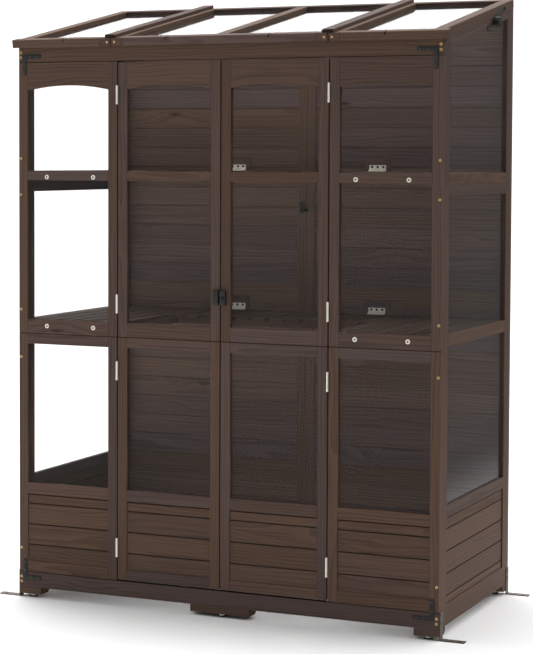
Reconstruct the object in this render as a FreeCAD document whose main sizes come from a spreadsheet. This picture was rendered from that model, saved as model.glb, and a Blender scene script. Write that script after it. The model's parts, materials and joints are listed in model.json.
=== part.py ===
import FreeCAD, Part
import math
import os

import Sketcher

# A lean-to greenhouse cabinet of stained softwood. The origin is on the ground, under the middle of
# the whole object: +X to the right, +Y to the back, +Z up. All sizes are in millimetres and degrees.

SIZES = [
    ("wall_width", 1450, "outside width of the walls"),
    ("wall_depth", 720, "outside depth of the walls"),
    ("roof_angle", 11.3, "slope of the roof, in degrees"),
    ("frame_thick", 18, "thickness of the front and back frames"),
    ("side_thick", 20, "thickness of the side frames"),
    ("stile_width", 32, "width of the front and back stiles"),
    ("side_stile", 48, "width of the side stiles"),
    ("door_gap", 4, "gap round each door"),
    ("pad_height", 4, "rubber pad of a glide"),
    ("pad_radius", 15, "radius of the rubber pad"),
    ("cap_height", 7, "plated cap of a glide"),
    ("cap_radius", 12.5, "radius of the plated cap"),
    ("foot_height", 23, "height of the foot blocks"),
    ("foot_width", 80, "width of a corner foot block"),
    ("foot_depth", 60, "depth of the foot blocks"),
    ("foot_middle", 205, "width of a middle foot block"),
    ("foot_chamfer", 12, "slanted inner edge of a foot block"),
    ("skirt_height", 51, "front skirt board"),
    ("lower_module", 785, "height of the lower front frames"),
    ("upper_module", 880, "height of the upper front frames"),
    ("header_height", 49, "front board under the roof"),
    ("lower_rail", 37, "bottom rail of a front frame"),
    ("plank_zone", 221, "planked height of a front frame"),
    ("window_rail", 37, "rail between planks and window"),
    ("seam_rail_low", 34, "top rail of a lower front frame"),
    ("seam_rail_up", 46, "bottom rail of an upper front frame"),
    ("shelf_spacing", 484, "height from the lower to the upper shelf"),
    ("shelf_rail", 31, "front rail at the upper shelf"),
    ("curved_rail", 90, "height of the arched rail at its ends"),
    ("arch_rise", 15, "rise of the arch"),
    ("plank_cover", 68, "visible height of a plank"),
    ("plank_first", 55, "visible height of the lowest front plank"),
    ("plank_thick", 10, "thickness of the planks"),
    ("plank_inset", 4, "planks stand back from the frame by this"),
    ("plank_groove", 4, "height of the groove between two planks"),
    ("plank_tongue", 4, "thickness of a plank behind its grooves"),
    ("pane_thick", 3, "thickness of the wall panes"),
    ("pane_inset", 13, "front panes stand back from the frame by this"),
    ("pane_lap", 12, "pane behind the arched rail"),
    ("side_bottom_rail", 64, "bottom rail of the side and back walls"),
    ("side_plank_zone", 263, "planked height of a side wall"),
    ("side_plank_first", 25, "visible height of the lowest side plank"),
    ("side_mid_rail", 38, "side rail at the lower shelf"),
    ("side_seam_rail", 34, "the two side rails at the upper shelf"),
    ("side_top_rail", 30, "sloping top rail of a side wall"),
    ("back_top_rail", 60, "top rail of the back wall"),
    ("slat_width", 46, "width of a shelf slat"),
    ("slat_thick", 10, "thickness of a shelf slat"),
    ("slat_gap", 11, "least gap between slats"),
    ("bearer", 20, "square bearer under the slats"),
    ("bearer_inset", 36, "bearer from the edge of a folding shelf"),
    ("cleat_width", 15, "cleat that carries a folding shelf"),
    ("rest_gap", 0.3, "clearance where a moving piece rests"),
    ("fold_depth", 334, "depth of a folding shelf"),
    ("fold_clear", 2, "clearance beside a folding shelf"),
    ("roof_thick", 26, "thickness of the roof frames"),
    ("roof_rail", 38, "width of the roof rails"),
    ("roof_front", 10, "overhang of the roof at the front"),
    ("roof_side", 1, "overhang of the roof at each side"),
    ("fascia_reach", 16, "front roof rail past the side rails"),
    ("roof_seam_left", 381, "left roof seam from the middle"),
    ("roof_seam_right", 362, "right roof seam from the middle"),
    ("seam_gap", 2, "gap between two roof frames"),
    ("roof_pane_thick", 4, "thickness of the roof panes"),
    ("drain_width", 5, "width of the drain notch in a front roof rail"),
    ("batten_width", 38, "cover batten over a roof seam"),
    ("batten_thick", 11, "thickness of the cover batten"),
    ("hinge_length", 60, "length of a butt hinge"),
    ("hinge_inset", 107, "door hinge from the end of its frame"),
    ("knuckle_radius", 3.5, "outside radius of a hinge knuckle"),
    ("knuckle_gap", 0.3, "gap between neighbouring knuckles"),
    ("pin_radius", 1.6, "radius of a hinge pin"),
    ("pin_clear", 0.05, "radial clearance on pins and studs"),
    ("leaf_thick", 1.2, "thickness of a hinge leaf"),
    ("leaf_depth", 16, "reach of a door hinge leaf"),
    ("strap_reach", 14, "reach of a roof or shelf hinge leaf"),
    ("roof_hinge_inset", 80, "hinge from the edge of its skylight"),
    ("shelf_hinge_spread", 520, "distance between a folding shelf's hinges"),
    ("hinge_block", 92, "width of the block behind a shelf hinge"),
    ("block_height", 48, "height of the block behind a shelf hinge"),
    ("mend_length", 90, "mending plate across a door's seam"),
    ("mend_width", 16, "width of a mending plate"),
    ("mend_thick", 2, "thickness of a mending plate"),
    ("latch_rise", 138, "latch above the seam of the front frames"),
    ("latch_width", 18, "width of the latch guide and of its keeper"),
    ("latch_height", 46, "height of the latch guide"),
    ("latch_depth", 11, "latch stands out from the door by this"),
    ("latch_offset", 1, "latch guide from the edge of its door"),
    ("bolt_height", 16, "height of the sliding bolt"),
    ("bolt_depth", 5, "thickness of the sliding bolt"),
    ("bolt_back", 3, "bolt from the face of the door"),
    ("thumb_width", 6, "thumb piece of the sliding bolt"),
    ("slide_clear", 0.3, "clearance round sliding pieces"),
    ("stay_pivot_run", 115, "stay pivot from the back, along the roof"),
    ("stay_knob_run", 225, "stay knob from the back"),
    ("stay_length", 200, "stay arm from its pivot to its far end"),
    ("stay_width", 15, "width of the stay arm"),
    ("stay_thick", 2.5, "thickness of the stay arm"),
    ("stay_slack", 2.2, "clearance beside the stud in the slot"),
    ("stud_radius", 3, "radius of the stay's stud and pivot"),
    ("post_radius", 6, "radius of the stay's post and screw heads"),
    ("head_height", 3, "height of a pivot head"),
    ("washer_gap", 0.5, "clearance along a pivot"),
    ("knob_radius", 14.5, "radius of the stay knob"),
    ("knob_length", 18, "length of the stay knob"),
    ("knob_chamfer", 3, "chamfer of the stay knob"),
    ("knob_bore", 12, "depth of the stud in the knob"),
    ("button_length", 30, "reach of a turn button"),
    ("button_width", 18, "width of a turn button"),
    ("button_thick", 4, "thickness of a turn button"),
    ("button_rise", 12, "turn button above the folded shelf"),
    ("peg_radius", 4, "radius of a turn button's peg"),
    ("brace_arm", 68, "arm of a corner brace"),
    ("brace_width", 14, "width of a corner brace"),
    ("brace_thick", 2.5, "thickness of a corner brace"),
    ("brace_inset", 15, "corner brace from the side edge"),
    ("brace_lap", 26, "corner brace above or below the joint it ties"),
    ("anchor_width", 25, "width of a ground anchor"),
    ("anchor_leg", 88, "upright leg of a ground anchor"),
    ("anchor_foot", 78, "flat leg of a ground anchor"),
    ("anchor_thick", 3, "thickness of a ground anchor"),
    ("anchor_inset", 3, "ground anchor from the corner"),
    ("anchor_screw_low", 55, "lower screw of a ground anchor"),
    ("anchor_screw_edge", 12, "upper screw from the end of the anchor"),
    ("ground_hole", 4, "radius of the hole for a ground peg"),
    ("ground_hole_edge", 20, "peg hole from the end of the anchor"),
    ("screw_head", 4.5, "radius of a screw head"),
    ("screw_dome", 2, "height of a screw head"),
    ("screw_shank", 2, "radius of a screw shank"),
    ("screw_length", 14, "length of a screw shank"),
    ("screw_edge", 8, "screws from the side edge"),
    ("screw_spread", 78, "screws above and below a joint"),
    ("bolt_head", 7.5, "radius of a shelf bolt's head"),
    ("bolt_dome", 3, "height of a shelf bolt's head"),
    ("bolt_shank", 3, "radius of a shelf bolt"),
    ("bolt_length", 34, "length of a shelf bolt"),
    ("bolt_edge", 105, "shelf bolt from the side edge"),
    ("bolt_spacing", 170, "distance between two shelf bolts"),
]

doc = FreeCAD.newDocument("greenhouse")
sheet = doc.addObject("Spreadsheet::Sheet", "dims")
for row, (alias, number, meaning) in enumerate(SIZES, start=1):
    sheet.set("A%d" % row, alias)
    sheet.set("B%d" % row, str(number))
    sheet.setAlias("B%d" % row, alias)
    sheet.set("C%d" % row, meaning)
doc.recompute()


class Size:
    """A length with its formula, so that an object can be bound to the sheet."""

    def __init__(self, text, value):
        self.text = text
        self.value = value

    def __add__(self, other):
        other = as_size(other)
        return Size("(%s + %s)" % (self.text, other.text), self.value + other.value)

    def __sub__(self, other):
        other = as_size(other)
        return Size("(%s - %s)" % (self.text, other.text), self.value - other.value)

    def __mul__(self, other):
        other = as_size(other)
        return Size("(%s * %s)" % (self.text, other.text), self.value * other.value)

    def __truediv__(self, other):
        other = as_size(other)
        return Size("(%s / %s)" % (self.text, other.text), self.value / other.value)

    def __neg__(self):
        return Size("(0 - %s)" % self.text, -self.value)

    def __radd__(self, other):
        return as_size(other) + self

    def __rsub__(self, other):
        return as_size(other) - self

    def __rmul__(self, other):
        return as_size(other) * self


def as_size(number):
    if isinstance(number, Size):
        return number
    return Size(repr(number), number)


def sine(angle):
    return Size("sin(%s)" % angle.text, math.sin(math.radians(angle.value)))


def cosine(angle):
    return Size("cos(%s)" % angle.text, math.cos(math.radians(angle.value)))


def tangent(angle):
    return Size("tan(%s)" % angle.text, math.tan(math.radians(angle.value)))


def arc_tangent(rise, run):
    ratio = rise / run
    return Size("(atan(%s) / 1 deg)" % ratio.text, math.degrees(math.atan(ratio.value)))


def root(number):
    return Size("sqrt(%s)" % number.text, math.sqrt(number.value))


class Dims:
    """The sheet's cells, read by name."""

    def __getattr__(self, name):
        return Size("dims.%s" % name, float(sheet.get(name)))


d = Dims()

X_AXIS = FreeCAD.Vector(1, 0, 0)
Y_AXIS = FreeCAD.Vector(0, 1, 0)
Z_AXIS = FreeCAD.Vector(0, 0, 1)
UPRIGHT = FreeCAD.Rotation()
NODES = []
WALL_PLANKS = []
WALL_PANES = []
PIVOT_POSTS = []


def bind(item, **sizes):
    for name, size in sizes.items():
        item.setExpression(name, as_size(size).text)


def place(item, at, turn=UPRIGHT):
    item.Placement = FreeCAD.Placement(FreeCAD.Vector(0, 0, 0), turn)
    for axis, size in zip("xyz", at):
        item.setExpression("Placement.Base.%s" % axis, as_size(size).text)


def box(name, at, size):
    item = doc.addObject("Part::Box", name)
    bind(item, Length=size[0], Width=size[1], Height=size[2])
    place(item, at)
    return item


def sloped(name, x, thick, y_range, low, high):
    """A board whose lower and upper edges may slope from its first to its second y."""
    item = doc.addObject("Part::Wedge", name)
    bind(item, Xmin=0, X2min=0, Xmax=thick, X2max=thick)
    bind(item, Ymin=0, Ymax=y_range[1] - y_range[0])
    bind(item, Zmin=low[0], Z2min=low[1], Zmax=high[0], Z2max=high[1])
    place(item, (x, y_range[0], 0))
    return item


TURN_TO = {
    "+x": FreeCAD.Rotation(Y_AXIS, 90),
    "-x": FreeCAD.Rotation(Y_AXIS, -90),
    "+y": FreeCAD.Rotation(X_AXIS, -90),
    "-y": FreeCAD.Rotation(X_AXIS, 90),
    "+z": UPRIGHT,
}


def rod(name, at, radius, length, towards):
    item = doc.addObject("Part::Cylinder", name)
    bind(item, Radius=radius, Height=length)
    place(item, at, TURN_TO[towards])
    return item


def cut(name, base, tool):
    item = doc.addObject("Part::Cut", name)
    item.Base = base
    item.Tool = tool
    return item


def fuse(name, pieces):
    item = doc.addObject("Part::MultiFuse", name)
    item.Shapes = pieces
    return item


def group(name, pieces, at=(0, 0, 0), turn=UPRIGHT):
    item = doc.addObject("Part::Compound", name)
    item.Links = pieces
    place(item, at, turn)
    return item


def node(name, pieces, at=(0, 0, 0), turn=UPRIGHT):
    item = group(name, pieces, at, turn)
    item.Label = name
    NODES.append(item)
    return item


def new_sketch(body, plane_role):
    sketch = body.newObject("Sketcher::SketchObject", body.Name + "_sketch")
    planes = [item for item in body.Origin.OriginFeatures if item.Role == plane_role]
    sketch.AttachmentSupport = [(planes[0], "")]
    sketch.MapMode = "FlatFace"
    return sketch


def set_coordinate(sketch, kind, line, size):
    """Hold the first point of a line at a distance from the sketch's origin."""
    size = as_size(size)
    if size.value == 0:
        axis = -2 if kind == "DistanceX" else -1
        sketch.addConstraint(Sketcher.Constraint("PointOnObject", line, 1, axis))
        return
    index = sketch.addConstraint(Sketcher.Constraint(kind, -1, 1, line, 1, size.value))
    sketch.setExpression("Constraints[%d]" % index, size.text)


def draw_outline(sketch, corners):
    """A closed outline through corners, each held by its two coordinates."""
    points = []
    for across, up in corners:
        points.append(FreeCAD.Vector(as_size(across).value, as_size(up).value, 0))
    lines = []
    for start, end in zip(points, points[1:] + points[:1]):
        lines.append(sketch.addGeometry(Part.LineSegment(start, end), False))
    for line, following in zip(lines, lines[1:] + lines[:1]):
        sketch.addConstraint(Sketcher.Constraint("Coincident", line, 2, following, 1))
    for line, (across, up) in zip(lines, corners):
        set_coordinate(sketch, "DistanceX", line, across)
        set_coordinate(sketch, "DistanceY", line, up)


def padded(name, plane_role, corners, length):
    body = doc.addObject("PartDesign::Body", name)
    sketch = new_sketch(body, plane_role)
    draw_outline(sketch, corners)
    pad = body.newObject("PartDesign::Pad", name + "_pad")
    pad.Profile = sketch
    pad.setExpression("Length", length.text)
    return body


def turned(name, corners):
    """A round piece about its own Z axis; corners are pairs of radius and height."""
    body = doc.addObject("PartDesign::Body", name)
    sketch = new_sketch(body, "XZ_Plane")
    draw_outline(sketch, corners)
    turning = body.newObject("PartDesign::Revolution", name + "_turning")
    turning.Profile = sketch
    turning.ReferenceAxis = (sketch, ["V_Axis"])
    turning.Angle = 360
    return body


def draw_slot(sketch, start, length, radius):
    """A slot along the sketch's first axis, between two round ends."""
    begin = start.value
    end = begin + length.value
    half = radius.value
    upper = sketch.addGeometry(
        Part.LineSegment(FreeCAD.Vector(begin, half, 0), FreeCAD.Vector(end, half, 0)), False)
    lower = sketch.addGeometry(
        Part.LineSegment(FreeCAD.Vector(end, -half, 0), FreeCAD.Vector(begin, -half, 0)), False)
    ends = []
    quarter = math.pi / 2
    for middle, from_angle in ((begin, quarter), (end, -quarter)):
        circle = Part.Circle(FreeCAD.Vector(middle, 0, 0), Z_AXIS, half)
        arc = Part.ArcOfCircle(circle, from_angle, from_angle + math.pi)
        ends.append(sketch.addGeometry(arc, False))
    sketch.addConstraint(Sketcher.Constraint("Tangent", ends[0], 1, upper, 1))
    sketch.addConstraint(Sketcher.Constraint("Tangent", ends[0], 2, lower, 2))
    sketch.addConstraint(Sketcher.Constraint("Tangent", ends[1], 1, lower, 1))
    sketch.addConstraint(Sketcher.Constraint("Tangent", ends[1], 2, upper, 2))
    sketch.addConstraint(Sketcher.Constraint("Equal", ends[0], ends[1]))
    if begin == 0:
        sketch.addConstraint(Sketcher.Constraint("Coincident", ends[0], 3, -1, 1))
    else:
        sketch.addConstraint(Sketcher.Constraint("PointOnObject", ends[0], 3, -1))
        index = sketch.addConstraint(Sketcher.Constraint("DistanceX", -1, 1, ends[0], 3, begin))
        sketch.setExpression("Constraints[%d]" % index, start.text)
    sketch.addConstraint(Sketcher.Constraint("PointOnObject", ends[1], 3, -1))
    index = sketch.addConstraint(
        Sketcher.Constraint("DistanceX", ends[0], 3, ends[1], 3, length.value))
    sketch.setExpression("Constraints[%d]" % index, length.text)
    index = sketch.addConstraint(Sketcher.Constraint("Radius", ends[0], half))
    sketch.setExpression("Constraints[%d]" % index, radius.text)


# Levels and planes that the pieces share

sin_pitch = sine(d.roof_angle)
cos_pitch = cosine(d.roof_angle)
tan_pitch = tangent(d.roof_angle)
half_width = d.wall_width / 2
bay = d.wall_width / 4
hinge_x = half_width - bay
half_gap = d.door_gap / 2

knuckle_seat = d.knuckle_radius + d.knuckle_gap
front_reach = d.roof_front + (d.roof_thick + d.batten_thick) * sin_pitch
back_reach = knuckle_seat + d.knuckle_radius
front_y = (front_reach - back_reach - d.wall_depth) / 2
back_y = front_y + d.wall_depth
inner_front_y = front_y + d.frame_thick
inner_back_y = back_y - d.frame_thick

glide_top_z = d.pad_height + d.cap_height
base_z = glide_top_z + d.foot_height
sill_z = base_z + d.skirt_height
plank_z = sill_z + d.lower_rail
ledge_z = plank_z + d.plank_zone
window_z = ledge_z + d.window_rail
seam_z = sill_z + d.lower_module
shelf_low_z = seam_z + d.seam_rail_up
shelf_high_z = shelf_low_z + d.shelf_spacing
head_z = seam_z + d.upper_module
arch_z = head_z - d.curved_rail
eave_z = head_z + d.header_height
SHELVES = {"lower": shelf_low_z, "upper": shelf_high_z}
SIDES = {"left": -1, "right": 1}


def under_roof(y):
    return eave_z + (y - front_y) * tan_pitch


def mirrored_x(side, near, far):
    """The lower x of a piece that lies from near to far on one side of the middle."""
    if SIDES[side] > 0:
        return near
    return -far


def outward(side):
    return "+x" if SIDES[side] > 0 else "-x"


# Feet, glides and ground anchors

def foot_blocks():
    inner_depth = d.foot_depth - d.foot_chamfer
    outline = [
        (0, 0),
        (inner_depth, 0),
        (d.foot_depth, d.foot_chamfer),
        (d.foot_depth, d.foot_height),
        (0, d.foot_height),
    ]
    corner = padded("corner_foot", "YZ_Plane", outline, d.foot_width)
    middle = padded("middle_foot", "YZ_Plane", outline, d.foot_middle)
    about = FreeCAD.Rotation(Z_AXIS, 180)
    pieces = []
    for block, width, places in (
        (corner, d.foot_width, (-half_width, half_width - d.foot_width)),
        (middle, d.foot_middle, (-d.foot_middle / 2,)),
    ):
        for x in places:
            pieces.append(group("front_foot", [block], (x, front_y, glide_top_z)))
            pieces.append(group("back_foot", [block], (x + width, back_y, glide_top_z), about))
    node("foot_blocks", pieces)


def glides():
    cap_dome = d.cap_height / 3
    cap = turned("glide_cap", [
        (0, 0),
        (d.cap_radius, 0),
        (d.cap_radius, d.cap_height - cap_dome),
        (d.cap_radius - cap_dome, d.cap_height),
        (0, d.cap_height),
    ])
    pad_edge = d.pad_height / 4
    pad = turned("glide_pad", [
        (0, 0),
        (d.pad_radius - pad_edge, 0),
        (d.pad_radius, pad_edge),
        (d.pad_radius, d.pad_height),
        (0, d.pad_height),
    ])
    corner_x = half_width - d.foot_width / 2
    glide_y = (d.foot_depth - d.foot_chamfer) / 2
    caps = []
    pads = []
    for x in (-corner_x, as_size(0), corner_x):
        for y in (front_y + glide_y, back_y - glide_y):
            caps.append(group("cap", [cap], (x, y, d.pad_height)))
            pads.append(group("pad", [pad], (x, y, 0)))
    node("glide_caps", caps)
    node("glide_pads", pads)


def ground_anchors():
    bent = padded("bent_strip", "XZ_Plane", [
        (0, 0),
        (d.anchor_foot, 0),
        (d.anchor_foot, d.anchor_thick),
        (d.anchor_thick, d.anchor_thick),
        (d.anchor_thick, d.anchor_leg),
        (0, d.anchor_leg),
    ], d.anchor_width)
    middle_y = -d.anchor_width / 2
    hole_x = d.anchor_foot - d.ground_hole_edge
    hole = rod("peg_hole", (hole_x, middle_y, 0), d.ground_hole, d.anchor_thick, "+z")
    strip = cut("drilled_strip", bent, hole)
    screw = turned("anchor_screw", [
        (0, 0),
        (d.screw_head, 0),
        (d.screw_head / 2, d.screw_dome),
        (0, d.screw_dome),
    ])
    heads = []
    for z in (d.anchor_screw_low, d.anchor_leg - d.anchor_screw_edge):
        at = (d.anchor_thick, middle_y, z)
        heads.append(group("anchor_screw_head", [screw], at, TURN_TO["+x"]))
    about = FreeCAD.Rotation(Z_AXIS, 180)
    near_y = front_y + d.anchor_inset
    far_y = back_y - d.anchor_inset
    pieces = []
    for part in [strip] + heads:
        for y in (near_y, far_y - d.anchor_width):
            pieces.append(group("right_anchor", [part], (half_width, y + d.anchor_width, 0)))
            pieces.append(group("left_anchor", [part], (-half_width, y, 0), about))
    node("ground_anchors", pieces)


# Front frames: two fixed bays and two doors, each of a lower and an upper module

def ladder(name, x_range, z_range, rails):
    """Two stiles with rails between them; rails are pairs of lower and upper height."""
    width = x_range[1] - x_range[0]
    height = z_range[1] - z_range[0]
    pieces = []
    for x in (x_range[0], x_range[1] - d.stile_width):
        at = (x, front_y, z_range[0])
        pieces.append(box(name + "_stile", at, (d.stile_width, d.frame_thick, height)))
    for low, high in rails:
        at = (x_range[0] + d.stile_width, front_y, low)
        size = (width - 2 * d.stile_width, d.frame_thick, high - low)
        pieces.append(box(name + "_rail", at, size))
    return pieces


def arched_rail(name, x_range, top_z):
    inner = x_range[1] - x_range[0] - 2 * d.stile_width
    at = (x_range[0] + d.stile_width, front_y, arch_z)
    board = box(name + "_board", at, (inner, d.pane_inset, top_z - arch_z))
    radius = (inner * inner / 4 + d.arch_rise * d.arch_rise) / (2 * d.arch_rise)
    middle = ((x_range[0] + x_range[1]) / 2, front_y, arch_z + d.arch_rise - radius)
    curve = rod(name + "_curve", middle, radius, d.pane_inset, "+y")
    return cut(name + "_arch", board, curve)


ALONG_X = 0
ALONG_Y = 1


def plank_rows(bottom, top, first):
    """Heights of the planks from the bottom up; the highest one is cut to fit."""
    rows = []
    low = bottom
    step = first
    while (low + step).value < top.value - d.plank_thick.value:
        rows.append((low, low + step))
        low = low + step
        step = d.plank_cover
    rows.append((low, top))
    return rows


def plank(name, at, size, thick_axis):
    """A board with a thinner tongue along its top, which leaves a groove on both faces."""
    board_height = size[2] - d.plank_groove
    board = box(name + "_board", at, (size[0], size[1], board_height))
    tongue_at = [at[0], at[1], at[2] + board_height]
    tongue_size = [size[0], size[1], d.plank_groove]
    tongue_at[thick_axis] = at[thick_axis] + (d.plank_thick - d.plank_tongue) / 2
    tongue_size[thick_axis] = d.plank_tongue
    return fuse(name, [board, box(name + "_tongue", tongue_at, tongue_size)])


def front_bay(name, x_range, bottom_z, top_z):
    """Frames, planks and panes of one front bay, from bottom_z to top_z."""
    lower_rails = [
        (bottom_z, plank_z),
        (ledge_z, window_z),
        (seam_z - d.seam_rail_low, seam_z),
    ]
    upper_rails = [
        (seam_z, shelf_low_z),
        (shelf_high_z - d.shelf_rail, shelf_high_z),
    ]
    lower = ladder(name + "_lower", x_range, (bottom_z, seam_z), lower_rails)
    upper = ladder(name + "_upper", x_range, (seam_z, top_z), upper_rails)
    upper.append(arched_rail(name, x_range, top_z))
    x = x_range[0] + d.stile_width
    inner = x_range[1] - d.stile_width - x
    planks = []
    for low, high in plank_rows(plank_z, ledge_z, d.plank_first):
        at = (x, front_y + d.plank_inset, low)
        planks.append(plank(name + "_plank", at, (inner, d.plank_thick, high - low), ALONG_Y))
    panes = []
    for low, high in (
        (window_z, seam_z - d.seam_rail_low),
        (shelf_low_z, shelf_high_z - d.shelf_rail),
        (shelf_high_z, arch_z + d.arch_rise + d.pane_lap),
    ):
        at = (x, front_y + d.pane_inset, low)
        panes.append(box(name + "_pane", at, (inner, d.pane_thick, high - low)))
    return lower, upper, planks, panes


def bay_x(side, near, far):
    start = mirrored_x(side, near, far)
    return (start, start + (far - near))


def front_wall():
    skirt_size = (d.wall_width, d.frame_thick, d.skirt_height)
    node("front_skirt", [box("skirt_board", (-half_width, front_y, base_z), skirt_size)])
    header = sloped(
        "header_board", -half_width, d.wall_width, (front_y, inner_front_y),
        (head_z, head_z), (eave_z, under_roof(inner_front_y)))
    node("header_rail", [header])
    for side in SIDES:
        x_range = bay_x(side, hinge_x + half_gap, half_width)
        name = "front_%s" % side
        lower, upper, planks, panes = front_bay(name, x_range, sill_z, head_z)
        node(name + "_lower_frame", lower)
        node(name + "_upper_frame", upper)
        WALL_PLANKS.extend(planks)
        WALL_PANES.extend(panes)


def doors():
    for side in SIDES:
        name = "%s_door" % side
        x_range = bay_x(side, half_gap, hinge_x - half_gap)
        lower, upper, planks, panes = front_bay(
            name, x_range, sill_z + d.door_gap, head_z - d.door_gap)
        node(name + "_lower_frame", lower)
        node(name + "_upper_frame", upper)
        node(name + "_planks", planks)
        node(name + "_panes", panes)


# Side walls and back wall

def side_wall(side):
    name = "%s_side" % side
    x = mirrored_x(side, half_width - d.side_thick, half_width)
    front_stile = (inner_front_y, inner_front_y + d.side_stile)
    back_stile = (inner_back_y - d.side_stile, inner_back_y)
    between = (front_stile[1], back_stile[0])
    side_seam_z = shelf_high_z - d.side_seam_rail
    frame = []
    for y_range in (front_stile, back_stile):
        size = (d.side_thick, d.side_stile, side_seam_z - base_z)
        frame.append(box(name + "_stile", (x, y_range[0], base_z), size))
        tops = (under_roof(y_range[0]), under_roof(y_range[1]))
        foot = (side_seam_z, side_seam_z)
        frame.append(sloped(name + "_top_stile", x, d.side_thick, y_range, foot, tops))
    planks_low = base_z + d.side_bottom_rail
    planks_high = planks_low + d.side_plank_zone
    rails = [
        (base_z, planks_low),
        (planks_high, planks_high + d.window_rail),
        (shelf_low_z - d.side_mid_rail, shelf_low_z),
        (side_seam_z - d.side_seam_rail, side_seam_z),
        (side_seam_z, shelf_high_z),
    ]
    span = between[1] - between[0]
    for low, high in rails:
        frame.append(box(name + "_rail", (x, between[0], low), (d.side_thick, span, high - low)))
    tops = (under_roof(between[0]), under_roof(between[1]))
    undersides = (tops[0] - d.side_top_rail, tops[1] - d.side_top_rail)
    frame.append(sloped(name + "_slope", x, d.side_thick, between, undersides, tops))
    node(name + "_frame", frame)
    plank_x = x + (d.side_thick - d.plank_thick) / 2
    for low, high in plank_rows(planks_low, planks_high, d.side_plank_first):
        size = (d.plank_thick, span, high - low)
        WALL_PLANKS.append(plank(name + "_plank", (plank_x, between[0], low), size, ALONG_X))
    pane_x = x + (d.side_thick - d.pane_thick) / 2
    for low, high in (
        (planks_high + d.window_rail, shelf_low_z - d.side_mid_rail),
        (shelf_low_z, side_seam_z - d.side_seam_rail),
    ):
        size = (d.pane_thick, span, high - low)
        WALL_PANES.append(box(name + "_pane", (pane_x, between[0], low), size))
    foot = (shelf_high_z, shelf_high_z)
    pane = sloped(name + "_top_pane", pane_x, d.pane_thick, between, foot, undersides)
    WALL_PANES.append(pane)


def side_walls():
    for side in SIDES:
        side_wall(side)


def back_wall():
    wall = (inner_back_y, back_y)
    tops = (under_roof(inner_back_y), under_roof(back_y))
    top_rail_z = tops[0] - d.back_top_rail
    planks_low = base_z + d.side_bottom_rail
    inner = half_width - 2 * d.stile_width
    frame = []
    planks = []
    for side in SIDES:
        name = "back_%s" % side
        for near in (as_size(0), half_width - d.stile_width):
            x = mirrored_x(side, near, near + d.stile_width)
            frame.append(sloped(
                name + "_stile", x, d.stile_width, wall, (base_z, base_z), tops))
        x = mirrored_x(side, d.stile_width, half_width - d.stile_width)
        size = (inner, d.frame_thick, d.side_bottom_rail)
        frame.append(box(name + "_bottom_rail", (x, inner_back_y, base_z), size))
        frame.append(sloped(
            name + "_top_rail", x, inner, wall, (top_rail_z, top_rail_z), tops))
        for low, high in plank_rows(planks_low, top_rail_z, d.side_plank_first):
            at = (x, inner_back_y + d.plank_inset, low)
            size = (inner, d.plank_thick, high - low)
            planks.append(plank(name + "_plank", at, size, ALONG_Y))
        block_near = (d.shelf_hinge_spread - d.hinge_block) / 2
        block_x = mirrored_x(side, block_near, block_near + d.hinge_block)
        for shelf_z in SHELVES.values():
            size = (d.hinge_block, d.plank_inset, d.block_height)
            frame.append(box(name + "_hinge_block", (block_x, inner_back_y, shelf_z), size))
    node("back_frame", frame)
    node("back_planks", planks)


# Shelves: fixed ones in the outer bays, folding ones between them

def slats(name, x_range, y_range, top_z):
    """Slats from front to back, spread evenly over the width."""
    width = x_range[1] - x_range[0]
    count = int((width + d.slat_gap).value / (d.slat_width + d.slat_gap).value)
    step = (width - d.slat_width) / (count - 1)
    size = (d.slat_width, y_range[1] - y_range[0], d.slat_thick)
    pieces = []
    for number in range(count):
        at = (x_range[0] + step * number, y_range[0], top_z - d.slat_thick)
        pieces.append(box(name + "_slat", at, size))
    return pieces


def bearers(name, x_range, places, top_z):
    size = (x_range[1] - x_range[0], d.bearer, d.bearer)
    low = top_z - d.slat_thick - d.bearer
    return [box(name + "_bearer", (x_range[0], y, low), size) for y in places]


def fixed_shelves():
    cleats = []
    middle_y = (inner_front_y + inner_back_y - d.bearer) / 2
    places = (inner_front_y, middle_y, inner_back_y - d.bearer)
    cleat_length = d.fold_depth + d.bearer
    for level, shelf_z in SHELVES.items():
        for side in SIDES:
            name = "%s_%s_shelf" % (side, level)
            x_range = bay_x(side, hinge_x, half_width - d.side_thick)
            pieces = slats(name, x_range, (inner_front_y, inner_back_y), shelf_z)
            pieces += bearers(name, x_range, places, shelf_z)
            node(name, pieces)
            x = mirrored_x(side, hinge_x - d.cleat_width, hinge_x)
            low = shelf_z - d.slat_thick - d.bearer
            size = (d.cleat_width, cleat_length, d.bearer - d.rest_gap)
            cleats.append(box(name + "_cleat", (x, inner_back_y - cleat_length, low), size))
    node("shelf_cleats", cleats)


fold_axis_y = inner_back_y - knuckle_seat


def folding_shelves():
    for level, shelf_z in SHELVES.items():
        name = "%s_fold_shelf" % level
        reach = hinge_x - d.fold_clear
        bearer_reach = reach - d.cleat_width
        front = fold_axis_y - d.fold_depth
        pieces = slats(name, (-reach, reach), (front, fold_axis_y), shelf_z)
        places = (front + d.bearer_inset, fold_axis_y - d.bearer - d.bearer_inset)
        pieces += bearers(name, (-bearer_reach, bearer_reach), places, shelf_z)
        node(name, pieces)


# Roof: a fixed frame in the middle and a skylight at each side, laid on the slope

roof_length = (d.wall_depth + d.roof_front) / cos_pitch


def on_roof(item):
    """Lay a piece on the slope; its own origin is at the back edge, on the underside."""
    item.Placement = FreeCAD.Placement(FreeCAD.Vector(0, 0, 0), FreeCAD.Rotation(X_AXIS, 1))
    item.setExpression("Placement.Rotation.Angle", d.roof_angle.text)
    item.setExpression("Placement.Base.y", back_y.text)
    item.setExpression("Placement.Base.z", under_roof(back_y).text)


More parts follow.
